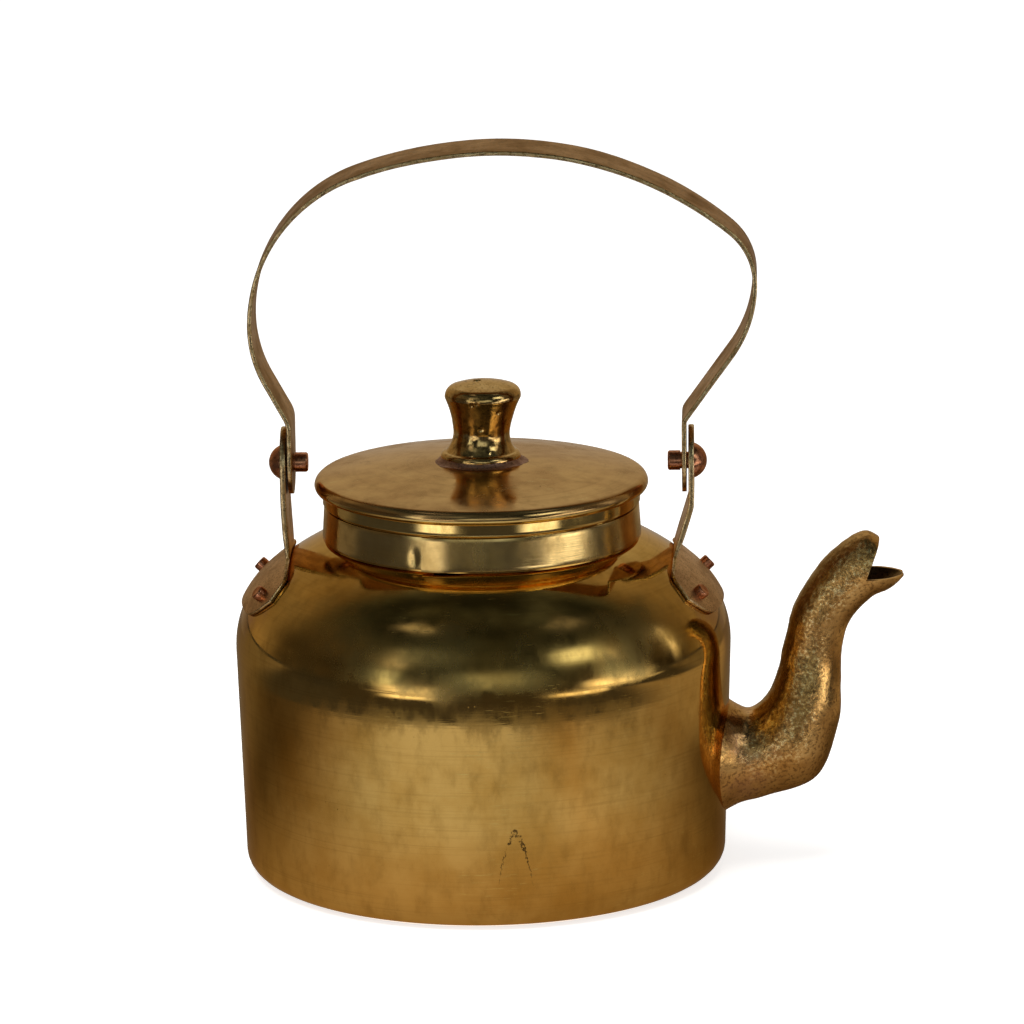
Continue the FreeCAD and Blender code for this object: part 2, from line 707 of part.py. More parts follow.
def arch_side(side):
    """Joints of one side of the arch, from the foot up to the top."""
    out = -1 if side == "left" else 1
    leg, bulge = number(LEG[side]), number(BULGE[side])
    rise = number(f"bail_{side}_bulge_height")
    lean = math.radians(number(f"bail_{side}_lean"))
    flank, calf, knee = (number(f"bail_{side}_{part}") for part in ("side", "leg", "bend"))
    calf_end = V(bulge - out * calf * (1 - math.cos(lean)), rise - calf * math.sin(lean), 0)
    knee_top = V(leg + out * knee * (1 - math.cos(lean)), 0, 0)
    knee_top.y = calf_end.y - abs(calf_end.x - knee_top.x) / math.tan(lean)
    knee_low = V(leg, knee_top.y - knee * math.sin(lean), 0)
    top = V(number("bail_top_shift"), number("bail_top"), 0)
    hub = V(bulge - out * flank, rise, 0)
    over = top.y - rise
    crown = ((hub.x - top.x) ** 2 + over * over - flank * flank) / (2 * (over - flank))
    middle = V(top.x, top.y - crown, 0)
    joint = middle + (hub - middle) * (crown / (crown - flank))
    foot = V(leg, number(BAIL_FOOT), 0)
    return {
        "joints": [foot, knee_low, knee_top, calf_end, V(bulge, rise, 0), joint, top],
        "radii": [None, knee, None, calf, flank, crown],
    }


path = new_sketch(bail, "bail_path", "XZ_Plane")
senses = {"left": [None, "ccw", None, "cw", "cw", "cw"], "right": [None, "cw", None, "ccw", "ccw", "ccw"]}
tops = {}
for side in ("left", "right"):
    chain = arch_side(side)
    base = path.GeometryCount
    ends = []
    for place, (radius, sense) in enumerate(zip(chain["radii"], senses[side])):
        here, there = chain["joints"][place], chain["joints"][place + 1]
        if radius is None:
            path.addGeometry(Part.LineSegment(here, there))
            ends.append((1, 2))
        elif sense == "ccw":
            path.addGeometry(short_arc(here, there, radius))
            ends.append((1, 2))
        else:
            path.addGeometry(short_arc(there, here, radius))
            ends.append((2, 1))
    for place in range(len(ends) - 1):
        path.addConstraint(
            Sketcher.Constraint("Tangent", base + place, ends[place][1], base + place + 1, ends[place + 1][0])
        )
    pin(path, base, ends[0][0], LEG[side], BAIL_FOOT)
    path.addConstraint(Sketcher.Constraint("Vertical", base))
    lean_text = f"90deg + bail_{side}_lean * 1deg" if side == "left" else f"90deg - bail_{side}_lean * 1deg"
    bind(path, Sketcher.Constraint("Angle", base + 2, math.radians(number(lean_text))), lean_text)
    for place, part in ((1, "bend"), (3, "leg"), (4, "side")):
        alias = f"bail_{side}_{part}"
        bind(path, Sketcher.Constraint("Radius", base + place, number(alias)), alias)
    pin(path, base + 4, ends[4][0], BULGE[side], f"bail_{side}_bulge_height")
    path.addConstraint(Sketcher.Constraint("Horizontal", base + 4, 3, base + 4, ends[4][0]))
    path.addConstraint(Sketcher.Constraint("Vertical", base + 5, 3, base + 5, ends[5][1]))
    tops[side] = (base + 5, ends[5][1])
path.addConstraint(Sketcher.Constraint("Coincident", *tops["left"], *tops["right"]))
pin(path, *tops["left"], "bail_top_shift", "bail_top")

flat = new_sketch(
    bail, "bail_section", "XY_Plane",
    f"placement(vector(0; 0; {BAIL_FOOT}); rotation(vector(0; 0; 1); 0))",
)
outside = "(left_reach - pivot_gap)"
inside = "(left_reach - pivot_gap - bail_gauge)"
outline(flat, [
    (f"0 - {outside} + bail_edge", "0 - bail_width / 2"),
    (f"0 - {inside} - bail_edge", "0 - bail_width / 2", "ccw", "bail_edge"),
    (f"0 - {inside}", "0 - bail_width / 2 + bail_edge"),
    (f"0 - {inside}", "bail_width / 2 - bail_edge", "ccw", "bail_edge"),
    (f"0 - {inside} - bail_edge", "bail_width / 2"),
    (f"0 - {outside} + bail_edge", "bail_width / 2", "ccw", "bail_edge"),
    (f"0 - {outside}", "bail_width / 2 - bail_edge"),
    (f"0 - {outside}", "0 - bail_width / 2 + bail_edge", "ccw", "bail_edge"),
])
doc.recompute()
arch = bail.newObject("PartDesign::AdditivePipe", "bail_arch")
arch.Profile = flat
arch.Spine = (path, [])
arch.Mode = "Binormal"
arch.Binormal = V(0, 1, 0)
rounds = new_sketch(bail, "bail_end_rounds", "YZ_Plane")
outline(rounds, [
    ("0 - bail_width / 2", "pivot_height", "ccw", END_ROUND),
    ("0", BAIL_FOOT, "ccw", END_ROUND),
    ("bail_width / 2", "pivot_height"),
    ("bail_width / 2 + bail_trim", "pivot_height"),
    ("bail_width / 2 + bail_trim", f"{BAIL_FOOT} - bail_trim"),
    ("0 - bail_width / 2 - bail_trim", f"{BAIL_FOOT} - bail_trim"),
    ("0 - bail_width / 2 - bail_trim", "pivot_height"),
])
cut(bail, rounds, both=True)
eyes = new_sketch(bail, "bail_eyes", "YZ_Plane")
circle(eyes, "0", "pivot_height", "pivot_shank / 2 + pivot_clearance")
cut(bail, eyes, both=True)

# Every object has to be sound before anything is written

doc.recompute()
faults = [item.Name for item in doc.Objects if "Invalid" in item.State or "Error" in item.State]
faults += [node.Label for node in nodes if node.Shape.isNull() or not node.Shape.isValid()]
faults += [node.Label for node in nodes if len(node.Shape.Solids) != 1]
if faults:
    raise RuntimeError(f"not sound: {faults}")

os.makedirs("parts", exist_ok=True)
for node in nodes:
    node.Shape.exportStep(f"parts/{node.Label}.step")
    size = node.Shape.BoundBox
    print(f"{node.Label}: {node.Shape.Volume:.0f} mm3, {size.XLength:.1f} x {size.YLength:.1f} x {size.ZLength:.1f}")
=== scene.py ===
import logging
import math
from dataclasses import dataclass, field
from enum import Enum
from typing import Callable, Optional, Sequence, Union

import bmesh
import bpy
from mathutils import Euler, Matrix, Vector, noise


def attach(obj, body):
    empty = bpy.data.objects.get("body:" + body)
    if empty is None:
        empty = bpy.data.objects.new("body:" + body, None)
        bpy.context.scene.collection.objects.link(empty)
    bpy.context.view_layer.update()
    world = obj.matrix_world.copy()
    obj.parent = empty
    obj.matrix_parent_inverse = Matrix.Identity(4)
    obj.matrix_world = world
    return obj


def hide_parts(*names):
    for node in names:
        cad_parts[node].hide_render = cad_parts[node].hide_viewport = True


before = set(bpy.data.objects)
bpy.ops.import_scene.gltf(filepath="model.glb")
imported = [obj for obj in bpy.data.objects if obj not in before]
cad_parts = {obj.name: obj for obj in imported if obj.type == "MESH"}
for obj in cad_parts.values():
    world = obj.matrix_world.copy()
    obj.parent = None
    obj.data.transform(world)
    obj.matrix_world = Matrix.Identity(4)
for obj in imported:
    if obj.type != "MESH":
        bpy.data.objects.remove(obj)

LOG = logging.getLogger("kettle")
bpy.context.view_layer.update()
MM = 0.001
PER_MM = 1000.0
MERGE = 0.004
PIVOT_HEIGHT = 138.5

Point = tuple[float, float]
Corner = tuple[float, float, float]
Colour = tuple[float, float, float]
Shift = Callable[[Vector], Vector]
Socket = bpy.types.NodeSocket
Value = Union[float, Socket]


class Body(Enum):
    """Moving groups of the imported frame."""

    KETTLE = "kettle"
    LID = "lid"
    BAIL = "bail"


class Side(Enum):
    """Side of the kettle, as the sign of its X coordinate."""

    LEFT = -1
    RIGHT = 1


# Plain helpers

def ease(value: float, low: float, high: float) -> float:
    """Smooth step that is 0 at low and 1 at high."""
    part = min(max((value - low) / (high - low), 0.0), 1.0)
    return part * part * (3.0 - 2.0 * part)


def rough(spot: Vector, scale: float, octaves: int = 3) -> float:
    """Fractal noise at a point, with features of a given size, mostly between -1 and 1."""
    return noise.fractal(spot / scale, 1.0, 2.1, octaves)


@dataclass
class Outline:
    """Chain of points drawn from lines and arcs, in millimetres.

    Attributes:
        step: Longest stretch between two points.
        points: The points so far, as distance from the axis and height.
    """

    step: float = 1.0
    points: list[Point] = field(default_factory=list)

    def line(self, across: float, along: float) -> "Outline":
        """Add a straight stretch, or the first point.

        Args:
            across: Distance of the end from the axis.
            along: Height of the end.

        Returns:
            The outline itself.
        """
        if not self.points:
            self.points.append((across, along))
            return self
        start = self.points[-1]
        count = max(1, math.ceil(math.hypot(across - start[0], along - start[1]) / self.step))
        for place in range(1, count + 1):
            part = place / count
            self.points.append((start[0] + (across - start[0]) * part, start[1] + (along - start[1]) * part))
        return self

    def sweep(self, hub: Point, radius: float, first: float, last: float) -> "Outline":
        """Add an arc round a known centre.

        Args:
            hub: Centre of the arc.
            radius: Radius of the arc.
            first: Angle in radians at which it starts.
            last: Angle in radians at which it ends.

        Returns:
            The outline itself.
        """
        count = max(3, math.ceil(abs(last - first) * radius / self.step))
        for place in range(count + 1):
            angle = first + (last - first) * place / count
            self.points.append((hub[0] + radius * math.cos(angle), hub[1] + radius * math.sin(angle)))
        return self

    def arc(self, across: float, along: float, radius: float, turn: int) -> "Outline":
        """Add an arc of under half a turn to a known end.

        Args:
            across: Distance of the end from the axis.
            along: Height of the end.
            radius: Radius of the arc.
            turn: 1 for counter-clockwise and -1 for clockwise.

        Returns:
            The outline itself.
        """
        start = self.points[-1]
        run, rise = across - start[0], along - start[1]
        half = math.hypot(run, rise) / 2
        away = turn * math.sqrt(max(radius * radius - half * half, 0.0)) / (2 * half)
        hub = ((start[0] + across) / 2 - rise * away, (start[1] + along) / 2 + run * away)
        first = math.atan2(start[1] - hub[1], start[0] - hub[0])
        last = math.atan2(along - hub[1], across - hub[0])
        if turn > 0 and last < first:
            last += math.tau
        if turn < 0 and last > first:
            last -= math.tau
        return self.sweep(hub, radius, first, last)


def mesh_from(name: str, spots: Sequence[Vector], faces: Sequence[Sequence[int]]) -> bpy.types.Mesh:
    """Make a mesh from points in millimetres.

    Args:
        name: Name of the mesh.
        spots: Points in millimetres.
        faces: Point numbers of each face.

    Returns:
        The mesh, in metres, with doubles merged and faces turned outwards.
    """
    mesh = bpy.data.meshes.new(name)
    mesh.from_pydata([spot * MM for spot in spots], [], faces)
    return tidied(mesh)


def tidied(mesh: bpy.types.Mesh) -> bpy.types.Mesh:
    """Merge doubles and turn the faces outwards.

    Args:
        mesh: Mesh to clean in place.

    Returns:
        The same mesh.
    """
    shape = bmesh.new()
    shape.from_mesh(mesh)
    bmesh.ops.remove_doubles(shape, verts=shape.verts, dist=MERGE * MM)
    bmesh.ops.recalc_face_normals(shape, faces=shape.faces)
    shape.to_mesh(mesh)
    shape.free()
    return mesh


def ring_faces(rings: int, count: int, closed: bool) -> list[tuple[int, ...]]:
    """Faces between neighbouring rings of points.

    Args:
        rings: Number of rings.
        count: Number of points in each ring.
        closed: True if the last ring joins the first.

    Returns:
        Point numbers of each face.
    """
    faces = []
    for ring in range(rings if closed else rings - 1):
        low, high = ring * count, (ring + 1) % rings * count
        for place in range(count):
            after = (place + 1) % count
            faces.append((low + place, low + after, high + after, high + place))
    return faces


def end_faces(rings: int, count: int) -> list[tuple[int, ...]]:
    """Faces that close the first and the last ring of points."""
    return [tuple(range(count)), tuple(range((rings - 1) * count, rings * count))]


def lathe(name: str, outline: Outline, steps: int, closed: bool = False,
          shift: Optional[Shift] = None) -> bpy.types.Mesh:
    """Turn an outline about the Z axis.

    Args:
        name: Name of the mesh.
        outline: Chain of points to turn.
        steps: Number of points round the axis.
        closed: True if the chain's end joins its start.
        shift: Moves each finished point, in millimetres.

    Returns:
        The turned mesh.
    """
    spots: list[Vector] = []
    for across, along in outline.points:
        for place in range(steps):
            bearing = math.tau * place / steps
            spot = Vector((across * math.cos(bearing), across * math.sin(bearing), along))
            spots.append(shift(spot) if shift else spot)
    return mesh_from(name, spots, ring_faces(len(outline.points), steps, closed))


def finished(obj: bpy.types.Object) -> bpy.types.Mesh:
    """Plain mesh of an object with its modifiers applied.

    Args:
        obj: Object whose modifiers are evaluated; it is removed.

    Returns:
        The evaluated mesh.
    """
    graph = bpy.context.evaluated_depsgraph_get()
    mesh = bpy.data.meshes.new_from_object(obj.evaluated_get(graph), depsgraph=graph)
    bpy.data.objects.remove(obj)
    return mesh


def loose(name: str, mesh: bpy.types.Mesh) -> bpy.types.Object:
    """Put a mesh into the scene as a plain object.

    Args:
        name: Name of the object.
        mesh: Its mesh.

    Returns:
        The new object.
    """
    obj = bpy.data.objects.new(name, mesh)
    bpy.context.scene.collection.objects.link(obj)
    return obj


@dataclass(frozen=True)
class Role:
    """What a finished piece answers for.

    Attributes:
        body: Group that it moves with.
        slot: Material slot of the record; not used.
        nodes: CAD nodes that it stands for.
    """

    body: Body
    slot: str
    nodes: tuple[str, ...]

    def settle(self, name: str, mesh: bpy.types.Mesh, materials: Sequence[bpy.types.Material] = (),
               crease: float = 38.0) -> bpy.types.Object:
        """Show a finished mesh in place of its CAD nodes.

        Args:
            name: Name of the piece.
            mesh: Its mesh, in place.
            materials: Materials in the order of the mesh's slots.
            crease: Angle in degrees above which an edge stays sharp.

        Returns:
            The piece.
        """
        for material in materials:
            mesh.materials.append(material)
        mesh.shade_smooth()
        mesh.set_sharp_from_angle(angle=math.radians(crease))
        obj = loose(name, mesh)
        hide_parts(*self.nodes)
        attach(obj, self.body.value)
        return obj


# Finishes

class Pen:
    """Draws one node tree with short calls."""

    def __init__(self, tree: bpy.types.NodeTree) -> None:
        """Keep the tree that is drawn on."""
        self.tree = tree

    def node(self, kind: str, **settings: object) -> bpy.types.Node:
        """Add a node.

        Args:
            kind: Node type.
            **settings: Properties of the node.

        Returns:
            The node.
        """
        made = self.tree.nodes.new(kind)
        for key, value in settings.items():
            setattr(made, key, value)
        return made

    def feed(self, socket: Socket, value: object) -> None:
        """Link a socket to an output, or set its value.

        Args:
            socket: Input to feed.
            value: Output to link, or the value itself.
        """
        if isinstance(value, Socket):
            self.tree.links.new(value, socket)
        else:
            socket.default_value = value

    def math(self, operation: str, first: Value, second: Value = 0.0) -> Socket:
        """Sum, product or other operation on two numbers.

        Args:
            operation: Name of the operation.
            first: First number.
            second: Second number.

        Returns:
            The result.
        """
        made = self.node("ShaderNodeMath", operation=operation)
        self.feed(made.inputs[0], first)
        self.feed(made.inputs[1], second)
        return made.outputs[0]

    def vector(self, operation: str, first: object, second: object = (0.0, 0.0, 0.0)) -> bpy.types.Node:
        """Operation on two vectors.

        Args:
            operation: Name of the operation.
            first: First vector.
            second: Second vector.

        Returns:
            The node, with its vector and value outputs.
        """
        made = self.node("ShaderNodeVectorMath", operation=operation)
        self.feed(made.inputs[0], first)
        self.feed(made.inputs[1], second)
        return made

    def scaled(self, where: object, factors: tuple[float, float, float]) -> Socket:
        """Vector times a factor along each axis."""
        return self.vector("MULTIPLY", where, factors).outputs[0]

    def spread(self, where: object) -> tuple[Socket, ...]:
        """X, Y and Z of a vector.

        Args:
            where: The vector.

        Returns:
            The three numbers.
        """
        made = self.node("ShaderNodeSeparateXYZ")
        self.feed(made.inputs[0], where)
        return tuple(made.outputs)

    def place(self, kind: str) -> Socket:
        """Texture coordinate of one kind."""
        return self.node("ShaderNodeTexCoord").outputs[kind]

    def noise(self, where: object, scale: float, detail: float = 3.0, coarse: float = 0.55) -> Socket:
        """Noise value.

        Args:
            where: Coordinate in millimetres.
            scale: Features per millimetre.
            detail: Octaves of finer noise.
            coarse: Weight of the finer octaves.

        Returns:
            A number round 0.5.
        """
        made = self.node("ShaderNodeTexNoise")
        self.feed(made.inputs["Vector"], where)
        made.inputs["Scale"].default_value = scale
        made.inputs["Detail"].default_value = detail
        made.inputs["Roughness"].default_value = coarse
        return made.outputs[0]

    def ramp(self, value: Value, low: float, high: float, start: float = 0.0, end: float = 1.0) -> Socket:
        """Smooth ramp between two values.

        Args:
            value: Number to read.
            low: Number at which the ramp starts.
            high: Number at which it ends.
            start: Result at the start.
            end: Result at the end.

        Returns:
            The result.
        """
        made = self.node("ShaderNodeMapRange", interpolation_type="SMOOTHSTEP")
        for key, number in (("From Min", low), ("From Max", high), ("To Min", start), ("To Max", end)):
            made.inputs[key].default_value = number
        self.feed(made.inputs["Value"], value)
        return made.outputs["Result"]

    def torn(self, value: Value, where: object, scale: float, reach: float, coarse: float = 0.55) -> Socket:
        """Number made uneven by up to a given reach, with so many features per millimetre."""
        wobble = self.ramp(self.noise(where, scale, 4.0, coarse), 0.2, 0.8, -reach, reach)
        return self.math("ADD", value, wobble)

    def mix(self, part: Value, first: object, second: object) -> Socket:
        """Mix of two colours.

        Args:
            part: Share of the second colour.
            first: First colour.
            second: Second colour.

        Returns:
            The mixed colour.
        """
        made = self.node("ShaderNodeMix", data_type="RGBA")
        self.feed(made.inputs[0], part)
        for socket, colour in ((made.inputs[6], first), (made.inputs[7], second)):
            self.feed(socket, colour if isinstance(colour, Socket) else (*colour, 1.0))
        return made.outputs[2]


class Recipe:
    """Geometry node tree with named inputs that ends in real geometry with one finish."""

    def __init__(self, name: str, inputs: dict[str, str]) -> None:
        """Start a tree.

        Args:
            name: Name of the tree.
            inputs: Socket type of each input besides the geometry and the finish.
        """
        self.tree = bpy.data.node_groups.new(name, "GeometryNodeTree")
        kinds = {"Geometry": "Geometry", **inputs, "Finish": "Material"}
        for key, kind in kinds.items():
            self.tree.interface.new_socket(name=key, in_out="INPUT", socket_type=f"NodeSocket{kind}")
        self.tree.interface.new_socket(name="Geometry", in_out="OUTPUT", socket_type="NodeSocketGeometry")
        self.pen = Pen(self.tree)
        self.given = self.pen.node("NodeGroupInput").outputs

    def step(self, kind: str, feeds: dict[str, object], **settings: object) -> bpy.types.Node:
        """Add a node and feed its sockets.

        Args:
            kind: Node type.
            feeds: Value or output for each socket, by name.
            **settings: Properties of the node.

        Returns:
            The node.
        """
        made = self.pen.node(kind, **settings)
        for key, value in feeds.items():
            self.pen.feed(made.inputs[key], value)
        return made

    def close(self, geometry: Socket) -> None:
        """Make the geometry real, set its finish and end the tree.

        Args:
            geometry: Geometry that the tree has made.
        """
        real = self.step("GeometryNodeRealizeInstances", {"Geometry": geometry})
        paint = self.step("GeometryNodeSetMaterial", {
            "Geometry": real.outputs["Geometry"],
            "Material": self.given["Finish"],
        })
        self.step("NodeGroupOutput", {"Geometry": paint.outputs["Geometry"]})

    def applied(self, obj: bpy.types.Object, values: dict[str, object]) -> bpy.types.Mesh:
        """Mesh that the tree makes of an object.

        Args:
            obj: Object to start from; it is removed.
            values: Value of each input, by name.

        Returns:
            The plain mesh.
        """
        worker = obj.modifiers.new(self.tree.name, "NODES")
        worker.node_group = self.tree
        for socket in self.tree.interface.items_tree:
            if socket.in_out == "INPUT" and socket.name in values:
                worker[socket.identifier] = values[socket.name]
        return finished(obj)


@dataclass
class Coat:
    """Colour, roughness and height of a finish while its layers are laid on.

    Attributes:
        pen: Pen on the material's tree.
        where: Point in millimetres.
        colour: Colour so far.
        roughness: Roughness so far.
        height: Height so far, in millimetres.
    """

    pen: Pen
    where: Socket
    colour: Socket
    roughness: Socket
    height: Socket

    def lay(self, share: Socket, colour: Colour, cover: float = 1.0, dull: float = 0.0,
            depth: float = 0.0) -> None:
        """Lay one more layer on.

        Args:
            share: Where the layer lies, from 0 to 1.
            colour: Colour of the layer.
            cover: How much of the colour below it hides.
            dull: Roughness that it adds.
            depth: Depth in millimetres that it is sunk by.
        """
        pen = self.pen
        self.colour = pen.mix(pen.math("MULTIPLY", share, cover), self.colour, colour)
        if dull:
            self.roughness = pen.math("ADD", self.roughness, pen.math("MULTIPLY", share, dull))
        if depth:
            self.height = pen.math("SUBTRACT", self.height, pen.math("MULTIPLY", share, depth))


@dataclass(frozen=True)
class Tint:
    """Stain that fades with distance from a point.

    Attributes:
        centre: Point in millimetres.
        radius: Distance at which the stain ends.
        colour: Colour of the stain.
        share: Share of the stain at its middle.
    """

    centre: tuple[float, float, float]
    radius: float
    colour: Colour
    share: float

    def stain(self, pen: Pen, where: Socket) -> Socket:
        """Share of the stain.

        Args:
            pen: Pen on the material's tree.
            where: Point in millimetres.

        Returns:
            The stain's share at its middle and 0 outside it.
        """
        away = pen.vector("DISTANCE", where, self.centre).outputs["Value"]
        wobble = pen.ramp(pen.noise(where, 0.12, 4.0), 0.3, 0.7, -0.3, 0.3 * self.radius)
        return pen.ramp(pen.math("ADD", away, wobble), self.radius, 0.45 * self.radius, 0.0, self.share)


@dataclass(frozen=True)
class Metal:
    """Worn metal with spinning lines, mottling, scratches and pits.

    Attributes:
        name: Name of the material.
        tone: Colour of the clean metal.
        tarnish: Colour of its darker patches.
        shine: Roughness of the clean metal.
        dull: Roughness of its darker patches.
        patch: Size of the patches in millimetres.
        patch_share: How much of the surface the patches cover, from 0 to 1.
        lines: Depth of the turned lines in millimetres.
        line_pitch: Lines per millimetre.
        grain: Depth of the cast grain in millimetres.
        grain_pitch: Grains per millimetre.
        pits: Share of dark pits, from 0 to 1.
        scratches: Share of pale scratches, from 0 to 1.
        tints: Stains at given places.
        scuff: True for the outlined scuff on the front of the wall.
        shade_band: Heights between which painted shade darkens the front and back of the shoulder, or none.
        raw: Direction that the never polished side of a casting faces, or none; there the grain is deeper and
            pale glints are painted on, and painted shade goes on the side towards the kettle.
    """

    name: str
    tone: Colour
    tarnish: Colour
    shine: float = 0.2
    dull: float = 0.35
    patch: float = 22.0
    patch_share: float = 0.5
    lines: float = 0.0
    line_pitch: float = 1.6
    grain: float = 0.0
    grain_pitch: float = 1.2
    pits: float = 0.0
    scratches: float = 0.0
    tints: tuple[Tint, ...] = ()
    scuff: bool = False
    shade_band: Optional[Point] = None
    raw: Optional[tuple[float, float, float]] = None

    def material(self) -> bpy.types.Material:
        """Build the material.

        Returns:
            A metal that reads Object coordinates only.
        """
        made = bpy.data.materials.new(self.name)
        made.use_nodes = True
        pen = Pen(made.node_tree)
        where = pen.scaled(pen.place("Object"), (PER_MM,) * 3)
        coat = self.ground(pen, where)
        if self.grain:
            self.lay_grain(coat)
        if self.pits:
            coat.lay(self.hollows(pen, where), PIT, cover=0.75, dull=0.3, depth=0.12)
        if self.scratches:
            pale = tuple(min(1.0, 1.5 * part + 0.08) for part in self.tone)
            coat.lay(self.marks(pen, where), pale, cover=0.7, dull=0.25, depth=0.004)
        for tint in self.tints:
            coat.lay(tint.stain(pen, where), tint.colour)
        # painted shade: a dark band over the front and back of the shoulder
        if self.shade_band:
            coat.lay(self.handled(pen, where), SHOULDER_SHADE, dull=0.26)
        if self.scuff:
            coat.lay(self.scuffed(pen, where), SCUFF, cover=0.8, dull=0.3)
        bump = pen.node("ShaderNodeBump")
        bump.inputs["Strength"].default_value = 1.0
        bump.inputs["Distance"].default_value = MM
        pen.feed(bump.inputs["Height"], coat.height)
        shader = made.node_tree.nodes["Principled BSDF"]
        shader.inputs["Metallic"].default_value = 1.0
        shader.inputs["Specular Tint"].default_value = (*EDGE_TINT, 1.0)
        pen.feed(shader.inputs["Base Color"], coat.colour)
        pen.feed(shader.inputs["Roughness"], coat.roughness)
        pen.feed(shader.inputs["Normal"], bump.outputs[0])
        return made

    @property
    def deeper(self) -> Colour:
        """Colour of the darkest stains."""
        return tuple(0.62 * part for part in self.tarnish)

    def ground(self, pen: Pen, where: Socket) -> Coat:
        """Clean metal with its patches, mottling and turned lines.

        Args:
            pen: Pen on the material's tree.
            where: Point in millimetres.

        Returns:
            The coat that the other layers are laid on.
        """
        cloud = pen.noise(where, 1.0 / self.patch, 5.0, 0.6)
        patches = pen.ramp(cloud, 0.6 - 0.5 * self.patch_share, 0.95 - 0.5 * self.patch_share)
        streaks = pen.noise(self.turned(pen, where), self.line_pitch, 4.0, 0.65)
        mottle = pen.noise(pen.scaled(where, (1.0, 1.0, 0.5)), 0.2, 5.0, 0.6)
        base = pen.ramp(patches, 0.0, 1.0, self.shine, self.dull)
        roughness = pen.math("ADD", base, pen.ramp(mottle, 0.3, 0.75, -0.04, 0.06))
        height = pen.math("MULTIPLY", streaks, self.lines)
        coat = Coat(pen, where, pen.mix(patches, self.tone, self.tarnish), roughness, height)
        coat.lay(pen.ramp(mottle, 0.42, 0.8, 0.0, 0.45), self.deeper)
        if self.lines:
            coat.lay(pen.ramp(streaks, 0.48, 0.74, 0.0, 0.28), self.deeper)
        return coat

    def lay_grain(self, coat: Coat) -> None:
        """Lay the cast grain on, rougher on a raw side with painted pale glints there, and with painted shade
        on the side towards the kettle.

        Args:
            coat: Coat to lay it on.
        """
        pen = coat.pen
        skin = pen.noise(coat.where, self.grain_pitch, 6.0, 0.62)
        depth: Value = self.grain
        if self.raw:
            unworn = self.unpolished(pen, coat.where)
            depth = pen.ramp(unworn, 0.0, 1.0, self.grain, 2.0 * self.grain)
            # painted glints: pale specks on the raw side stand in for light sparkling on the grain
            coat.lay(pen.math("MULTIPLY", unworn, pen.ramp(skin, 0.53, 0.6)), PAINTED_GLINT)
        coat.height = pen.math("ADD", coat.height, pen.math("MULTIPLY", skin, depth))
        coat.lay(pen.ramp(skin, 0.5, 0.38, 0.0, 0.85), self.deeper)
        # painted shade on the side of the casting that faces the kettle
        if self.raw:
            coat.lay(self.inward_shade(pen), KETTLE_SIDE_SHADE)

    def turned(self, pen: Pen, where: Socket) -> Socket:
        """Coordinate whose noise runs in rings about the Z axis.

        Args:
            pen: Pen on the material's tree.
            where: Point in millimetres.

        Returns:
            Distance from the axis, height and a slow drift along the ring.
        """
        reach = pen.vector("LENGTH", pen.scaled(where, (1.0, 1.0, 0.0))).outputs["Value"]
        x, y, z = pen.spread(where)
        joined = pen.node("ShaderNodeCombineXYZ")
        drift = pen.math("MULTIPLY", pen.math("ADD", x, y), 0.02)
        for socket, value in zip(joined.inputs, (reach, z, drift)):
            pen.feed(socket, value)
        return joined.outputs[0]

    def unpolished(self, pen: Pen, where: Socket) -> Socket:
        """1 on the raw side of a casting, which was never polished and where pale glints are painted on, and
        0 on the other.
        """
        facing = pen.vector("DOT_PRODUCT", pen.place("Normal"), self.raw).outputs["Value"]
        return pen.ramp(pen.torn(facing, where, 0.16, 0.22), 0.62, 0.86)

    def inward_shade(self, pen: Pen) -> Socket:
        """Share of the painted shade on the side towards the kettle."""
        inward = pen.vector("DOT_PRODUCT", pen.place("Normal"), (-0.97, 0.0, 0.24)).outputs["Value"]
        return pen.ramp(inward, 0.45, 0.92, 0.0, 0.7)

    def hollows(self, pen: Pen, where: Socket) -> Socket:
        """Small scattered pits.

        Args:
            pen: Pen on the material's tree.
            where: Point in millimetres.

        Returns:
            1 in a pit and 0 elsewhere.
        """
        cells = pen.node("ShaderNodeTexVoronoi")
        pen.feed(cells.inputs["Vector"], where)
        cells.inputs["Scale"].default_value = 0.3
        spread = pen.noise(where, 0.05, 2.0)
        size = pen.ramp(spread, 0.45, 0.75, 0.0, 0.3 * self.pits)
        return pen.ramp(pen.math("SUBTRACT", size, cells.outputs["Distance"]), -0.02, 0.08)

    def marks(self, pen: Pen, where: Socket) -> Socket:
        """Short straight scratches in three directions.

        Args:
            pen: Pen on the material's tree.
            where: Point in millimetres.

        Returns:
            1 in a scratch and 0 elsewhere.
        """
        total: Value = 0.0
        area = pen.ramp(pen.noise(where, 0.04, 2.0), 0.5, 0.66)
        for place, angle in enumerate((0.5, 1.2, 2.3)):
            turn = pen.node("ShaderNodeMapping")
            pen.feed(turn.inputs["Vector"], where)
            turn.inputs["Location"].default_value = (13.0 * place, 5.0, 7.0 * place)
            turn.inputs["Rotation"].default_value = (0.2, angle, 0.3 * place)
            turn.inputs["Scale"].default_value = (0.12, 0.5, 2.4)
            line = pen.ramp(pen.noise(turn.outputs[0], 1.0, 2.0, 0.4), 0.69, 0.73)
            total = pen.math("MAXIMUM", total, line)
        return pen.math("MULTIPLY", pen.math("MULTIPLY", total, area), self.scratches)

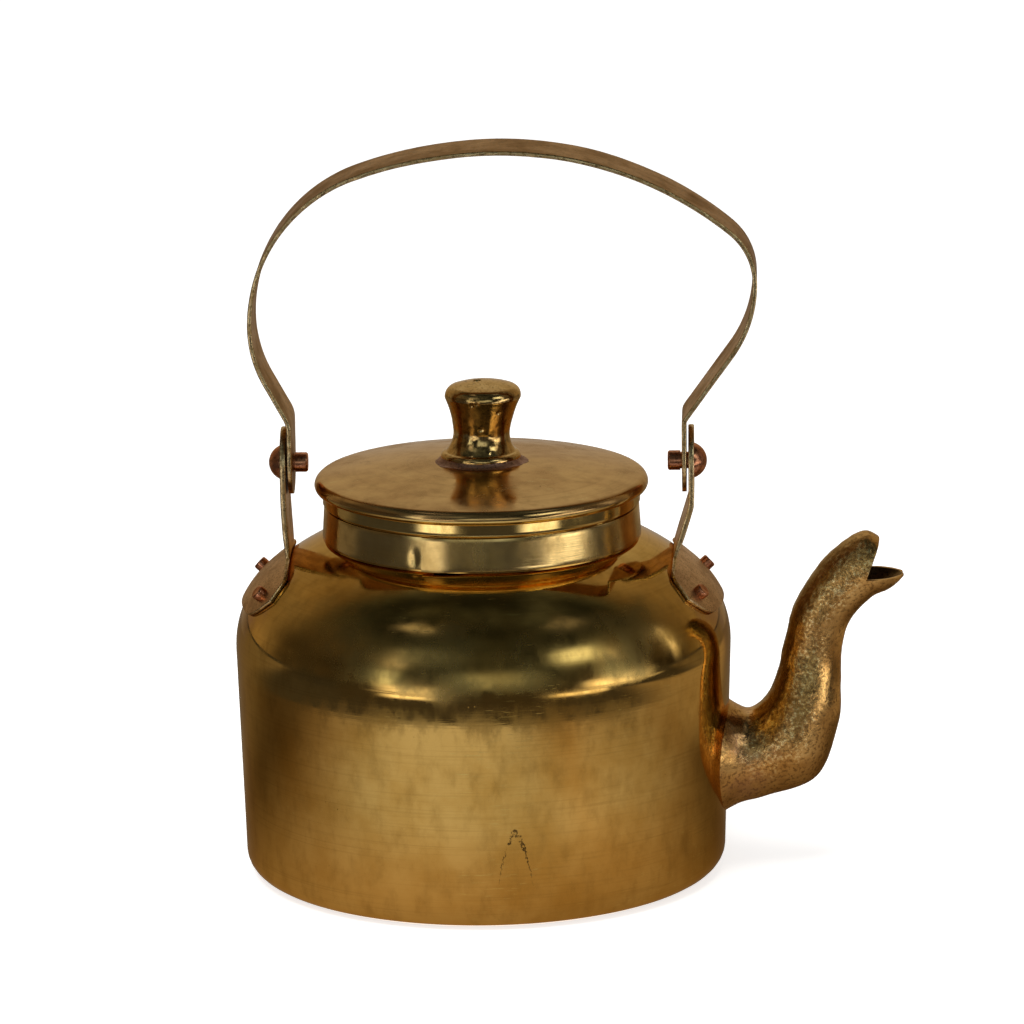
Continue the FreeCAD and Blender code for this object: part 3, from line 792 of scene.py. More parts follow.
    def handled(self, pen: Pen, where: Socket) -> Socket:
        """Share of the painted shade between two heights, which darkens the front and back of the shoulder.

        Args:
            pen: Pen on the material's tree.
            where: Point in millimetres.

        Returns:
            1 where the painted shade is whole and 0 where the metal is clean.
        """
        low, high = self.shade_band
        x, _, z = pen.spread(where)
        torn = pen.torn(z, where, 0.05, 4.0)
        painted_shade = pen.math("MULTIPLY", pen.ramp(torn, low, low + 5.0), pen.ramp(torn, high, high - 8.0))
        painted_shade = pen.math("MULTIPLY", painted_shade, pen.ramp(pen.math("ABSOLUTE", x), 74.0, 52.0))
        return pen.math("MULTIPLY", painted_shade, pen.ramp(pen.noise(where, 0.045, 5.0, 0.6), 0.36, 0.64, 0.45, 0.9))

    def scuffed(self, pen: Pen, where: Socket) -> Socket:
        """Broken outline of an arch on the front of the wall.

        Args:
            pen: Pen on the material's tree.
            where: Point in millimetres.

        Returns:
            1 on the outline and 0 elsewhere.
        """
        x, y, z = pen.spread(where)
        across = pen.math("SUBTRACT", x, SCUFF_TOP[0])
        below = pen.math("SUBTRACT", SCUFF_TOP[1], z)
        arch = pen.math("SUBTRACT", pen.math("MULTIPLY", pen.math("MULTIPLY", across, across), 0.55), below)
        line = pen.ramp(pen.math("ABSOLUTE", pen.torn(arch, where, 0.6, 2.6, 0.7)), 1.3, 0.5)
        kept = pen.ramp(pen.noise(where, 0.5, 3.0), 0.42, 0.56)
        limits = pen.math("MULTIPLY", pen.ramp(z, 12.0, 24.0), pen.ramp(y, -60.0, -64.0))
        return pen.math("MULTIPLY", pen.math("MULTIPLY", line, kept), limits)


EDGE_TINT = (0.92, 0.76, 0.55)
PIT = (0.05, 0.035, 0.02)
SCUFF = (0.035, 0.025, 0.018)
SCUFF_TOP = (12.5, 32.6)
# colour of the painted shade band on the shoulder
SHOULDER_SHADE = (0.31, 0.225, 0.08)
# colour of the painted glints on a casting's raw side
PAINTED_GLINT = (1.0, 0.75, 0.38)
# colour of the painted shade on the side of a casting that faces the kettle
KETTLE_SIDE_SHADE = (0.15, 0.08, 0.03)
HEAT = (0.50, 0.30, 0.27)
ROSE = (0.68, 0.38, 0.28)

SPUN = Metal(
    "spun_brass", tone=(0.82, 0.52, 0.155), tarnish=(0.64, 0.36, 0.08), shine=0.06, dull=0.13, patch=30.0,
    patch_share=0.5, lines=0.003, line_pitch=1.1, pits=0.25, scratches=0.4, scuff=True,
    # heights of the painted shade band on the shoulder
    shade_band=(78.0, 106.0),
    tints=(
        Tint((84.0, 0.0, 37.0), 30.0, ROSE, 0.5),
        Tint((74.0, -16.0, 96.0), 24.0, HEAT, 0.5),
        Tint((-74.0, -16.0, 96.0), 24.0, HEAT, 0.5),
    ),
)
BANDED = Metal(
    "band_brass", tone=(0.88, 0.64, 0.28), tarnish=(0.68, 0.46, 0.17), shine=0.17, dull=0.25, patch=14.0,
    lines=0.012, line_pitch=2.4, pits=0.3,
)
LIDDED = Metal(
    "lid_brass", tone=(0.80, 0.52, 0.22), tarnish=(0.60, 0.36, 0.15), shine=0.12, dull=0.24, patch=18.0,
    patch_share=0.55, lines=0.005, line_pitch=0.9, pits=0.5, scratches=0.3,
    tints=(Tint((0.0, 0.0, 139.0), 19.0, HEAT, 0.55),),
)
COLLAR = Metal(
    "lid_collar", tone=(0.92, 0.68, 0.28), tarnish=(0.82, 0.56, 0.19), shine=0.08, dull=0.14, patch=16.0,
    lines=0.008, pits=0.1,
)
CAST = Metal(
    "cast_brass", tone=(0.88, 0.54, 0.20), tarnish=(0.56, 0.30, 0.095), shine=0.16, dull=0.26, patch=12.0,
    grain=0.10, grain_pitch=0.85, pits=0.4, raw=(-0.42, -0.88, 0.2),
    tints=(Tint((84.0, 0.0, 37.0), 26.0, ROSE, 0.45),),
)
# darker finish of the spout's bore, painted shade inside the tube
BORE_SHADE = Metal(
    "cast_inside", tone=(0.34, 0.21, 0.09), tarnish=(0.17, 0.10, 0.045), shine=0.35, dull=0.5, patch=7.0,
    grain=0.12, grain_pitch=0.9, pits=0.4,
)
KNOBBED = Metal(
    "knob_brass", tone=(0.90, 0.63, 0.28), tarnish=(0.68, 0.42, 0.15), shine=0.10, dull=0.18, patch=9.0,
    grain=0.02, grain_pitch=1.2, pits=0.8, lines=0.002,
)
STRIP = Metal(
    "strip_brass", tone=(0.84, 0.56, 0.33), tarnish=(0.58, 0.36, 0.20), shine=0.32, dull=0.45, patch=9.0,
    grain=0.03, grain_pitch=1.6, pits=0.5, scratches=0.4,
)
CUT_EDGE = Metal(
    "cut_edge", tone=(0.94, 0.74, 0.44), tarnish=(0.66, 0.44, 0.20), shine=0.25, dull=0.36, patch=4.0,
    grain=0.10, grain_pitch=0.8, pits=0.3,
)
HOOPED = Metal(
    "bail_brass", tone=(0.54, 0.30, 0.115), tarnish=(0.35, 0.18, 0.065), shine=0.32, dull=0.45, patch=16.0,
    grain=0.03, grain_pitch=1.0, pits=0.35, scratches=0.5,
)
COPPER = Metal(
    "copper", tone=(0.84, 0.38, 0.22), tarnish=(0.56, 0.22, 0.12), shine=0.22, dull=0.32, patch=3.0,
    grain=0.015, grain_pitch=0.9, pits=0.2,
)
BRAZED = Metal(
    "braze", tone=(0.60, 0.38, 0.30), tarnish=(0.42, 0.24, 0.20), shine=0.4, dull=0.55, patch=4.0,
    grain=0.10, grain_pitch=1.1,
)


# Sub-assemblies

@dataclass
class Shell:
    """Spun body: flat base, tapered wall, round shoulder, crown and short neck, in millimetres."""

    gauge: float = 1.2
    base_radius: float = 80.6
    corner_radius: float = 7.2
    wall_radius: float = 82.8
    shoulder_height: float = 77.3
    shoulder_radius: float = 30.9
    shoulder_turn: float = math.radians(47.8)
    crown_radius: float = 70.0
    neck_radius: float = 52.3
    neck_taper: float = 0.7
    neck_top: float = 125.1
    inlet_radius: float = 13.0
    inlet_height: float = 37.7
    inlet_steps: int = 64
    unevenness: float = 0.02
    wave: float = 38.0
    wave_start: Point = (2.0, 20.0)
    wave_end: Point = (118.0, 105.0)
    dent_bearing: float = math.radians(-32.0)
    dent_height: float = 19.0
    dent_radius: float = 6.0
    dent_depth: float = 0.5
    steps: int = 288

    @property
    def corner_hub(self) -> Point:
        """Centre of the arc between base and wall."""
        return self.base_radius - self.corner_radius, self.corner_radius

    @property
    def shoulder_hub(self) -> Point:
        """Centre of the shoulder's arc."""
        return self.wall_radius - self.shoulder_radius, self.shoulder_height

    @property
    def crown_hub(self) -> Point:
        """Centre of the crown's arc, which meets the shoulder's smoothly.

        Returns:
            Distance from the axis and height.
        """
        inward = self.crown_radius - self.shoulder_radius
        hub = self.shoulder_hub
        return hub[0] - inward * math.cos(self.shoulder_turn), hub[1] - inward * math.sin(self.shoulder_turn)

    @property
    def wall_tilt(self) -> float:
        """Angle of the wall's outward normal, where one line touches both arcs.

        Returns:
            The angle in radians.
        """
        low, high = self.corner_hub, self.shoulder_hub
        run, rise = high[0] - low[0], high[1] - low[1]
        reach = math.hypot(run, rise)
        return math.atan2(rise, run) - math.acos((self.corner_radius - self.shoulder_radius) / reach)

    def neck_turn(self, offset: float) -> float:
        """Angle on the crown's arc at which the neck starts."""
        return math.acos((self.neck_radius + offset - self.crown_hub[0]) / (self.crown_radius + offset))

    def reach(self, height: float, offset: float = 0.0) -> float:
        """Radius of the outer face.

        Args:
            height: Height above the base.
            offset: Distance outside the face.

        Returns:
            Distance from the axis.
        """
        tilt = self.wall_tilt
        shoulder, crown = self.shoulder_hub, self.crown_hub
        ring = self.shoulder_radius + offset
        if height < shoulder[1] + ring * math.sin(tilt):
            return shoulder[0] + ring / math.cos(tilt) + (shoulder[1] - height) * math.tan(tilt)
        if height < shoulder[1] + ring * math.sin(self.shoulder_turn):
            return shoulder[0] + math.sqrt(ring * ring - (height - shoulder[1]) ** 2)
        ring = self.crown_radius + offset
        return crown[0] + math.sqrt(max(ring * ring - (height - crown[1]) ** 2, 0.0))

    def outline(self) -> Outline:
        """Section of the sheet, from the axis outside to the axis inside.

        Returns:
            The open outline.
        """
        tilt, turn = self.wall_tilt, self.shoulder_turn
        corner, shoulder, crown = self.corner_hub, self.shoulder_hub, self.crown_hub
        thin = -self.gauge
        lip = self.neck_radius - self.neck_taper - self.gauge / 2
        line = Outline(step=1.7)
        line.line(0.0, 0.0).line(corner[0], 0.0)
        line.sweep(corner, self.corner_radius, -math.pi / 2, tilt)
        wall_top = self.shoulder_height + self.shoulder_radius * math.sin(tilt)
        line.line(self.reach(wall_top), wall_top)
        line.sweep(shoulder, self.shoulder_radius, tilt, turn)
        line.sweep(crown, self.crown_radius, turn, self.neck_turn(0.0))
        line.line(lip + self.gauge / 2, self.neck_top - self.gauge / 2)
        line.sweep((lip, self.neck_top - self.gauge / 2), self.gauge / 2, 0.0, math.pi)
        neck = self.neck_turn(thin)
        line.line(self.neck_radius + thin, crown[1] + (self.crown_radius + thin) * math.sin(neck))
        line.sweep(crown, self.crown_radius + thin, neck, turn)
        line.sweep(shoulder, self.shoulder_radius + thin, turn, tilt)
        line.line(corner[0] + (self.corner_radius + thin) * math.cos(tilt),
                  corner[1] + (self.corner_radius + thin) * math.sin(tilt))
        line.sweep(corner, self.corner_radius + thin, tilt, -math.pi / 2)
        line.line(0.0, self.gauge)
        return line

    def worn(self, spot: Vector) -> Vector:
        """Move a point of the sheet by the hand-spun unevenness and the small dent.

        Args:
            spot: Point of the true form.

        Returns:
            The moved point.
        """
        reach = math.hypot(spot.x, spot.y)
        if reach < 1.0:
            return spot
        share = ease(spot.z, *self.wave_start) * ease(spot.z, *self.wave_end)
        push = -self.unevenness * (1.0 + rough(spot, self.wave, 2)) * share
        wall, turn = self.reach(self.dent_height), self.dent_bearing
        dent = Vector((wall * math.cos(turn), wall * math.sin(turn), self.dent_height))
        push -= self.dent_depth * ease((spot - dent).length, self.dent_radius, 0.0)
        return spot + Vector((spot.x / reach, spot.y / reach, 0.0)) * push

    def build(self) -> bpy.types.Object:
        """Make the shell with its spout inlet.

        Returns:
            The finished piece.
        """
        body = loose("shell_blank", lathe("shell_blank", self.outline(), self.steps, shift=self.worn))
        plug = Outline(step=2.0)
        inside, outside = self.wall_radius / 2, self.wall_radius * 1.5
        plug.line(0.0, inside).line(self.inlet_radius, inside)
        plug.line(self.inlet_radius, outside).line(0.0, outside)
        mesh = lathe("inlet_plug", plug, self.inlet_steps)
        lift = Matrix.Translation((0.0, 0.0, self.inlet_height * MM))
        mesh.transform(lift @ Matrix.Rotation(math.pi / 2, 4, "Y"))
        cutter = loose("inlet_plug", mesh)
        hole = body.modifiers.new("inlet", "BOOLEAN")
        hole.operation = "DIFFERENCE"
        hole.object = cutter
        shape = finished(body)
        bpy.data.objects.remove(cutter)
        return Role(Body.KETTLE, "spun_brass", ("body_shell",)).settle("shell", shape, [SPUN.material()])


@dataclass
class NeckBand:
    """Brushed strip bent round the neck, with one end lapped over the other, in millimetres."""

    shell: Shell
    gauge: float = 0.8
    seat: float = 0.06
    foot: float = 113.7
    top: float = 124.7
    edge: float = 0.22
    lap_bearing: float = -109.5
    lap_turn: float = 4.0
    ramp_turn: float = 18.0
    lap_drop: float = 0.45
    lap_gap: float = 0.02
    dent_bearing: float = -112.6
    dent_height: float = 117.5
    dent_radius: float = 2.4
    dent_depth: float = 0.45
    dent_rise_share: float = 0.6
    rows: int = 8
    steps: int = 420

    def section(self) -> list[Point]:
        """Rounded section of the strip.

        Returns:
            Points as distance from the inner face and height above the foot.
        """
        line = Outline(step=0.12)
        high, edge = self.top - self.foot, self.edge
        line.line(0.0, 0.0).line(self.gauge - edge, 0.0)
        line.sweep((self.gauge - edge, edge), edge, -math.pi / 2, 0.0)
        for row in range(1, self.rows):
            line.points.append((self.gauge, edge + (high - 2 * edge) * row / self.rows))
        line.sweep((self.gauge - edge, high - edge), edge, 0.0, math.pi / 2)
        line.points.append((0.0, high))
        return line.points

    def build(self) -> bpy.types.Object:
        """Make the band.

        Returns:
            The finished piece.
        """
        section = self.section()
        spots: list[Vector] = []
        for place in range(self.steps + 1):
            turn = (360.0 + self.lap_turn) * place / self.steps
            bearing = self.lap_bearing + turn
            lapped = ease(turn, self.ramp_turn, self.lap_turn)
            lift = (self.gauge + self.lap_gap) * lapped
            drop = self.lap_drop * lapped
            for out, up in section:
                height = self.foot + up - drop * (1.0 - up / (self.top - self.foot))
                taper = self.shell.neck_taper * (height - self.foot) / (self.top - self.foot)
                radius = self.shell.neck_radius + self.seat - taper + lift + out
                gone = (bearing - 360.0 - self.dent_bearing) * radius * math.pi / 180.0
                near = math.hypot(gone, self.dent_rise_share * (height - self.dent_height))
                radius -= self.dent_depth * ease(near, self.dent_radius, 0.0) * (out / self.gauge)
                angle = math.radians(bearing)
                spots.append(Vector((radius * math.cos(angle), radius * math.sin(angle), height)))
        rings, count = self.steps + 1, len(section)
        mesh = mesh_from("neck_band", spots, end_faces(rings, count) + ring_faces(rings, count, False))
        return Role(Body.KETTLE, "band_brass", ("neck_band",)).settle("band", mesh, [BANDED.material()])


@dataclass
class Lid:
    """Loose lid: domed disc with a rolled rim, skirt, cast knob and its braze, in millimetres."""

    gauge: float = 1.2
    radius: float = 55.6
    rim_height: float = 131.5
    top: float = 139.3
    dome_radius: float = 289.0
    rim_run: float = 2.6
    rim_round: float = 3.0
    cheek: float = 2.2
    lip_radius: float = 52.9
    lip_bore: float = 50.9
    lip_foot: float = 125.5
    lip_wall: float = 4.0
    lip_edge: float = 0.3
    seat: float = 0.02
    skirt_radius: float = 49.6
    skirt_gauge: float = 0.9
    skirt_foot: float = 116.0
    skirt_steps: int = 192
    unevenness: float = 0.12
    wave: float = 26.0
    steps: int = 256
    foot_radius: float = 13.3
    foot_wall: float = 1.5
    foot_round: float = 1.5
    cove_radius: float = 9.0
    waist_radius: float = 9.45
    waist_height: float = 149.2
    flank_radius: float = 40.0
    knob_radius: float = 12.7
    knob_edge_height: float = 160.6
    knob_edge_round: float = 3.6
    cap_radius: float = 10.7
    cap_height: float = 164.3
    cap_round: float = 34.0
    knob_top: float = 166.1
    lean: float = math.radians(2.4)
    skin: float = 0.10
    skin_size: float = 4.0
    skin_foot: float = 0.6
    skin_start: Point = (0.5, 6.0)
    lean_start: Point = (0.0, 10.0)
    dent_floor: float = 0.35
    pit_offset: float = -2.0
    pit_radius: float = 1.5
    pit_floor: float = 0.45
    pit_depth: float = 1.8
    pit_start: Point = (20.0, 24.0)
    knob_steps: int = 192
    braze_width: float = 2.6
    braze_rise: float = 1.4
    braze_lap: float = 0.2
    braze_seat: float = 0.01
    braze_hollow: float = 3.0
    braze_steps: int = 128
    flow: float = 0.05
    flow_size: float = 7.0
    flow_inset: float = 0.03
    flow_rise: float = 0.12
    flow_rise_size: float = 3.0
    flow_start: Point = (-0.3, 1.2)

    def dome(self, reach: float, offset: float = 0.0) -> float:
        """Height of the dome's top face at a distance from the axis."""
        ring = self.dome_radius + offset
        return self.top - self.dome_radius + math.sqrt(ring * ring - reach * reach)

    def disc_outline(self) -> Outline:
        """Section of the disc, from the axis below to the axis above.

        Returns:
            The open outline.
        """
        line = Outline(step=1.1)
        thin, end = self.gauge, self.radius - self.rim_run
        line.line(0.0, self.top - thin).arc(end, self.dome(end, -thin), self.dome_radius - thin, -1)
        line.arc(self.radius - thin, self.rim_height, self.rim_round - thin / 2, -1)
        line.line(self.lip_radius - thin, self.lip_foot + self.lip_wall + thin)
        line.line(self.lip_bore, self.lip_foot + thin).line(self.lip_bore, self.lip_foot)
        line.line(self.lip_radius - self.lip_edge, self.lip_foot)
        line.arc(self.lip_radius, self.lip_foot + self.lip_edge, self.lip_edge, 1)
        line.line(self.lip_radius, self.lip_foot + self.lip_wall)
        line.step = 0.3
        line.arc(self.radius, self.rim_height, self.cheek, 1)
        line.arc(end, self.dome(end), self.rim_round, 1)
        line.step = 1.1
        line.arc(0.0, self.top, self.dome_radius, 1)
        return line

    def handled(self, spot: Vector) -> Vector:
        """Move a point of the disc by its slight unevenness."""
        return spot + Vector((0.0, 0.0, self.unevenness * (rough(spot, self.wave, 2) - 0.5)))

    def knob_outline(self) -> Outline:
        """Section of the knob, from the axis below to the axis above.

        Returns:
            The open outline.
        """
        line = Outline(step=0.35)
        line.line(0.0, self.top + self.seat).line(self.foot_radius, self.dome(self.foot_radius, self.seat))
        line.line(self.foot_radius, self.top + self.foot_wall)
        bead = self.top + self.foot_wall + self.foot_round
        line.arc(self.foot_radius - self.foot_round, bead, self.foot_round, 1)
        line.arc(self.waist_radius, self.waist_height, self.cove_radius, -1)
        line.arc(self.knob_radius, self.knob_edge_height, self.flank_radius, -1)
        line.arc(self.cap_radius, self.cap_height, self.knob_edge_round, 1)
        line.step = 0.25
        line.arc(0.0, self.knob_top, self.cap_round, 1)
        return line

    def cast(self, spot: Vector) -> Vector:
        """Move a point of the knob by its lean, cast skin and pits.

        Args:
            spot: Point of the true form.

        Returns:
            The moved point.
        """
        reach = max(math.hypot(spot.x, spot.y), 0.001)
        out = Vector((spot.x / reach, spot.y / reach, 0.0))
        moved = spot.copy()
        rise = spot.z - self.top
        if rise > self.skin_foot:
            push = self.skin * (rough(spot, self.skin_size, 4) - 0.5)
            bearing = math.degrees(math.atan2(spot.y, spot.x))
            for at, height, size, depth in KNOB_PITS:
                gone = Vector(((bearing - at) * reach * math.pi / 180.0, spot.z - height)).length
                push -= depth * ease(gone, size, self.dent_floor * size)
            moved += out * push * ease(reach, *self.skin_start)
            gone = math.hypot(spot.x - self.pit_offset, spot.y)
            sunk = self.pit_depth * ease(gone, self.pit_radius, self.pit_floor * self.pit_radius)
            moved.z -= sunk * ease(rise, *self.pit_start)
        moved.x += max(rise, 0.0) * math.tan(self.lean) * ease(rise, *self.lean_start)
        return moved

    def braze_outline(self) -> Outline:
        """Section of the hollow-faced ring of braze.

        Returns:
            The closed outline.
        """
        line = Outline(step=0.3)
        low, high = self.foot_radius - self.braze_lap, self.foot_radius + self.braze_width
        line.line(low, self.dome(low, self.braze_seat)).line(high, self.dome(high, self.braze_seat))
        line.arc(low, self.top + self.braze_rise, self.braze_hollow, -1)
        return line

    def flowed(self, spot: Vector) -> Vector:
        """Move a point of the braze by its uneven flow.

        Args:
            spot: Point of the true form.

        Returns:
            The moved point.
        """
        reach = math.hypot(spot.x, spot.y)
        share = ease(reach, self.foot_radius, self.foot_radius + self.braze_width)
        grown = 1.0 + (self.flow * rough(spot, self.flow_size, 3) - self.flow_inset) * share
        up = ease(spot.z - self.top, *self.flow_start)
        lift = self.flow_rise * rough(spot, self.flow_rise_size, 2) * up
        return Vector((spot.x * grown, spot.y * grown, spot.z + lift))

    def build(self) -> list[bpy.types.Object]:
        """Make the lid's four pieces.

        Returns:
            The finished pieces.
        """
        disc = lathe("lid_disc", self.disc_outline(), self.steps, shift=self.handled)
        for face in disc.polygons:
            middle = face.center
            reach = math.hypot(middle.x, middle.y)
            face.material_index = 1 if middle.z < self.rim_height * MM and reach > self.lip_bore * MM else 0
        plate = Role(Body.LID, "lid_brass", ("lid_disc",))
        made = [plate.settle("lid_plate", disc, [LIDDED.material(), COLLAR.material()])]
        ring = Outline(step=1.2)
        half = self.skirt_gauge / 2
        crest = self.dome(self.skirt_radius, -self.gauge) - self.seat
        ring.sweep((self.skirt_radius - half, self.skirt_foot + half), half, -math.pi, 0.0)
        ring.line(self.skirt_radius, crest).line(self.skirt_radius - self.skirt_gauge, crest)
        skirt = lathe("lid_skirt", ring, self.skirt_steps, closed=True)
        made.append(Role(Body.LID, "lid_brass", ("lid_skirt",)).settle("skirt", skirt, [COLLAR.material()]))
        knob = lathe("lid_knob", self.knob_outline(), self.knob_steps, shift=self.cast)
        casting = Role(Body.LID, "cast_brass", ("lid_knob",))
        made.append(casting.settle("knob", knob, [KNOBBED.material()], crease=60.0))
        braze = lathe("knob_braze", self.braze_outline(), self.braze_steps, closed=True, shift=self.flowed)
        made.append(Role(Body.LID, "braze", ("knob_braze",)).settle("braze_ring", braze, [BRAZED.material()]))
        return made


# Pits in the knob as bearing in degrees, height, radius and depth

KNOB_PITS = (
    (-105.0, 160.2, 1.0, 0.35),
    (-97.0, 160.6, 0.8, 0.3),
    (-90.0, 151.5, 1.2, 0.3),
    (-70.0, 142.8, 0.9, 0.3),
    (-60.0, 157.0, 0.7, 0.25),
    (20.0, 158.0, 0.9, 0.3),
    (110.0, 152.0, 1.0, 0.3),
)

# Places across the thickness of a bracket's rounded edge

EDGE_PARTS = (0.06, 0.2, 0.5, 0.8, 0.94)

# Rounding of a bracket's foot as shares of its edge's round and of its thickness

FOOT_PARTS = ((0.02, 0.3), (0.3, 0.75))


@dataclass
class Bracket:
    """Riveted bracket: tongue that follows the shoulder, bent up into a flat strap, in millimetres."""

    shell: Shell
    side: Side
    reach: float
    knee: float = 125.5
    knee_round: float = 0.22
    tongue_gauge: float = 1.3
    strap_gauge: float = 1.9
    seat: float = 0.02
    bend_reach: float = 63.4
    bend_round: float = 1.4
    strap_half: float = 12.0
    pivot_height: float = PIVOT_HEIGHT
    fan_half: float = 30.9
    fan_run: float = 13.9
    fan_foot: float = 91.3
    fan_waist: float = 98.0
    fan_corner: float = 13.0
    fan_crown: float = 20.8
    fan_top: float = 108.3
    edge: float = 0.3
    overrun: float = 6.0
    swell: Point = (-2.0, 10.0)
    cut_facing: float = 0.75
    columns: int = 40

    def bend_height(self) -> float:
        """Height at which the strap leaves the shoulder."""
        hub, ring = self.shell.crown_hub, self.shell.crown_radius + self.seat
        return hub[1] + math.sqrt(ring * ring - (self.bend_reach - hub[0]) ** 2)

    def half_widths(self) -> list[Point]:
        """Right-hand edge of the blank, from the foot to the crest.

        Returns:
            Points as half width and height.
        """
        line = Outline(step=0.7)
        line.line(self.fan_half - self.fan_run, self.fan_foot)
        line.arc(self.fan_half, self.fan_waist, self.fan_corner, 1)
        line.arc(self.strap_half, self.fan_top, self.fan_crown, 1)
        line.line(self.strap_half, self.pivot_height)
        line.sweep((0.0, self.pivot_height), self.strap_half, 0.0, math.pi / 2)
        return line.points

    def under(self, across: float, height: float) -> float:
        """Distance of the blank's inner face from the plane of the two axes.

        Args:
            across: Distance to the side of the strap's middle.
            height: Height above the base.

        Returns:
            Distance along X.
        """
        ring = self.shell.reach(min(height, self.bend_height() + self.overrun), self.seat)
        tongue = math.sqrt(max(ring * ring - across * across, 0.0))
        start = self.bend_height()
        lean = (self.reach - self.bend_reach) / (self.knee - start)
        strap = self.bend_reach + lean * (height - start)
        knee_gap = strap - self.reach
        strap = self.reach + (knee_gap - math.sqrt(knee_gap * knee_gap + self.knee_round ** 2)) / 2
        gap = tongue - strap
        return (tongue + strap + math.sqrt(gap * gap + self.bend_round ** 2)) / 2

    def outward(self, across: float, height: float) -> Vector:
        """Direction from the inner to the outer face of the sheet.

        Args:
            across: Distance to the side of the strap's middle.
            height: Height above the base.

        Returns:
            A unit vector.
        """
        span = 0.2
        aside = (self.under(across + span, height) - self.under(across - span, height)) / (2 * span)
        above = (self.under(across, height + span) - self.under(across, height - span)) / (2 * span)
        return Vector((1.0, -aside, -above)).normalized()

    def row(self, half: float, height: float, lean: Point, thin: float) -> list[Vector]:
        """Closed section of the sheet at one step along its edge.

        Args:
            half: Half width of the blank there.
            height: Height above the base there.
            lean: Outward direction of the blank's edge, across and up.
            thin: Share of the thickness, for the rounded foot.

        Returns:
            Points from the inner face round both cut edges.
        """
        level = height - self.edge * lean[1]
        side = max(half - self.edge * lean[0], 0.0)
        grown = ease(height - self.bend_height(), *self.swell)
        gauge = self.tongue_gauge + (self.strap_gauge - self.tongue_gauge) * grown
        inner, outer = [], []
        for column in range(self.columns + 1):
            across = side * (2.0 * column / self.columns - 1.0)
            spot = Vector((self.under(across, level), across, level))
            out = self.outward(across, level) * gauge
            inner.append(spot + out * (0.5 - 0.5 * thin))
            outer.append(spot + out * (0.5 + 0.5 * thin))
        turns = []
        for sign, low, high in ((1, inner[-1], outer[-1]), (-1, outer[0], inner[0])):
            bulge = Vector((0.0, sign * lean[0], lean[1])) * self.edge
            bent = [bulge * math.sin(math.pi * part) ** 0.5 for part in EDGE_PARTS]
            turns.append([low.lerp(high, part) + push for part, push in zip(EDGE_PARTS, bent)])
        return inner + turns[0] + outer[::-1] + turns[1]

    def build(self) -> bpy.types.Object:
        """Make the bracket from a bent blank of sheet.

        Returns:
            The finished piece.
        """
        edge = self.half_widths()
        foot = edge[0]
        rows = [self.row(foot[0], foot[1] + up * self.edge, (0.0, 0.0), thin) for up, thin in FOOT_PARTS]
        for place in range(1, len(edge)):
            before, after = edge[place - 1], edge[min(place + 1, len(edge) - 1)]
            run, rise = after[0] - before[0], after[1] - before[1]
            size = max(math.hypot(run, rise), 0.001)
            rows.append(self.row(*edge[place], (rise / size, -run / size), 1.0))
        rings, count = len(rows), len(rows[0])
        faces = end_faces(rings, count) + ring_faces(rings, count, False)
        name = "bracket_left" if self.side is Side.LEFT else "bracket_right"
        mesh = mesh_from(name, [spot for row in rows for spot in row], faces)
        if self.side is Side.LEFT:
            mesh.transform(Matrix.Rotation(math.pi, 4, "Z"))
        for face in mesh.polygons:
            spot = face.center * PER_MM
            spot.x *= self.side.value
            out = self.outward(spot.y, spot.z)
            out.x *= self.side.value
            face.material_index = 1 if abs(face.normal.dot(out)) < self.cut_facing else 0
        role = Role(Body.KETTLE, "strip_brass", (name,))
        return role.settle(f"{name}_strap", mesh, [STRIP.material(), CUT_EDGE.material()])


@dataclass
class Rivets:
    """Copper rivets of one pattern, set on given places, in millimetres."""

    name: str
    nodes: tuple[str, ...]
    section: Outline
    places: Sequence[Matrix]
    dimple: float = 0.05
    dimple_size: float = 2.2
    steps: int = 64

    def hammered(self, spot: Vector) -> Vector:
        """Move a point of a rivet by its hammer marks."""
        dent = 0.5 * self.dimple * rough(spot, self.dimple_size, 2)
        return spot * (1.0 + dent / max(spot.length, 1.0))

    def recipe(self) -> Recipe:
        """Node tree that sets one rivet on every place.

        Returns:
            The tree, with inputs named Rivet and Finish.
        """
        made = Recipe(f"{self.name}_places", {"Rivet": "Object"})
        turn = made.step("GeometryNodeInputNamedAttribute", {"Name": "turn"}, data_type="FLOAT_VECTOR")
        euler = made.step("FunctionNodeEulerToRotation", {"Euler": turn.outputs["Attribute"]})
        source = made.step("GeometryNodeObjectInfo", {"Object": made.given["Rivet"], "As Instance": True})
        copies = made.step("GeometryNodeInstanceOnPoints", {
            "Points": made.given["Geometry"],
            "Instance": source.outputs["Geometry"],
            "Rotation": euler.outputs["Rotation"],
        })
        made.close(copies.outputs["Instances"])
        return made

    def build(self) -> bpy.types.Object:
        """Make all the rivets as one piece.

        Returns:
            The finished piece.
        """
        rivet = loose("rivet_blank", lathe("rivet_blank", self.section, self.steps, shift=self.hammered))
        points = bpy.data.meshes.new("rivet_points")
        points.from_pydata([place.translation for place in self.places], [], [])
        turns = points.attributes.new("turn", "FLOAT_VECTOR", "POINT")
        for spot, place in zip(turns.data, self.places):
            spot.vector = place.to_euler()
        rows = loose("rivet_rows", points)
        shape = tidied(self.recipe().applied(rows, {"Rivet": rivet, "Finish": COPPER.material()}))
        bpy.data.objects.remove(rivet)
        return Role(Body.KETTLE, "copper", self.nodes).settle(self.name, shape)


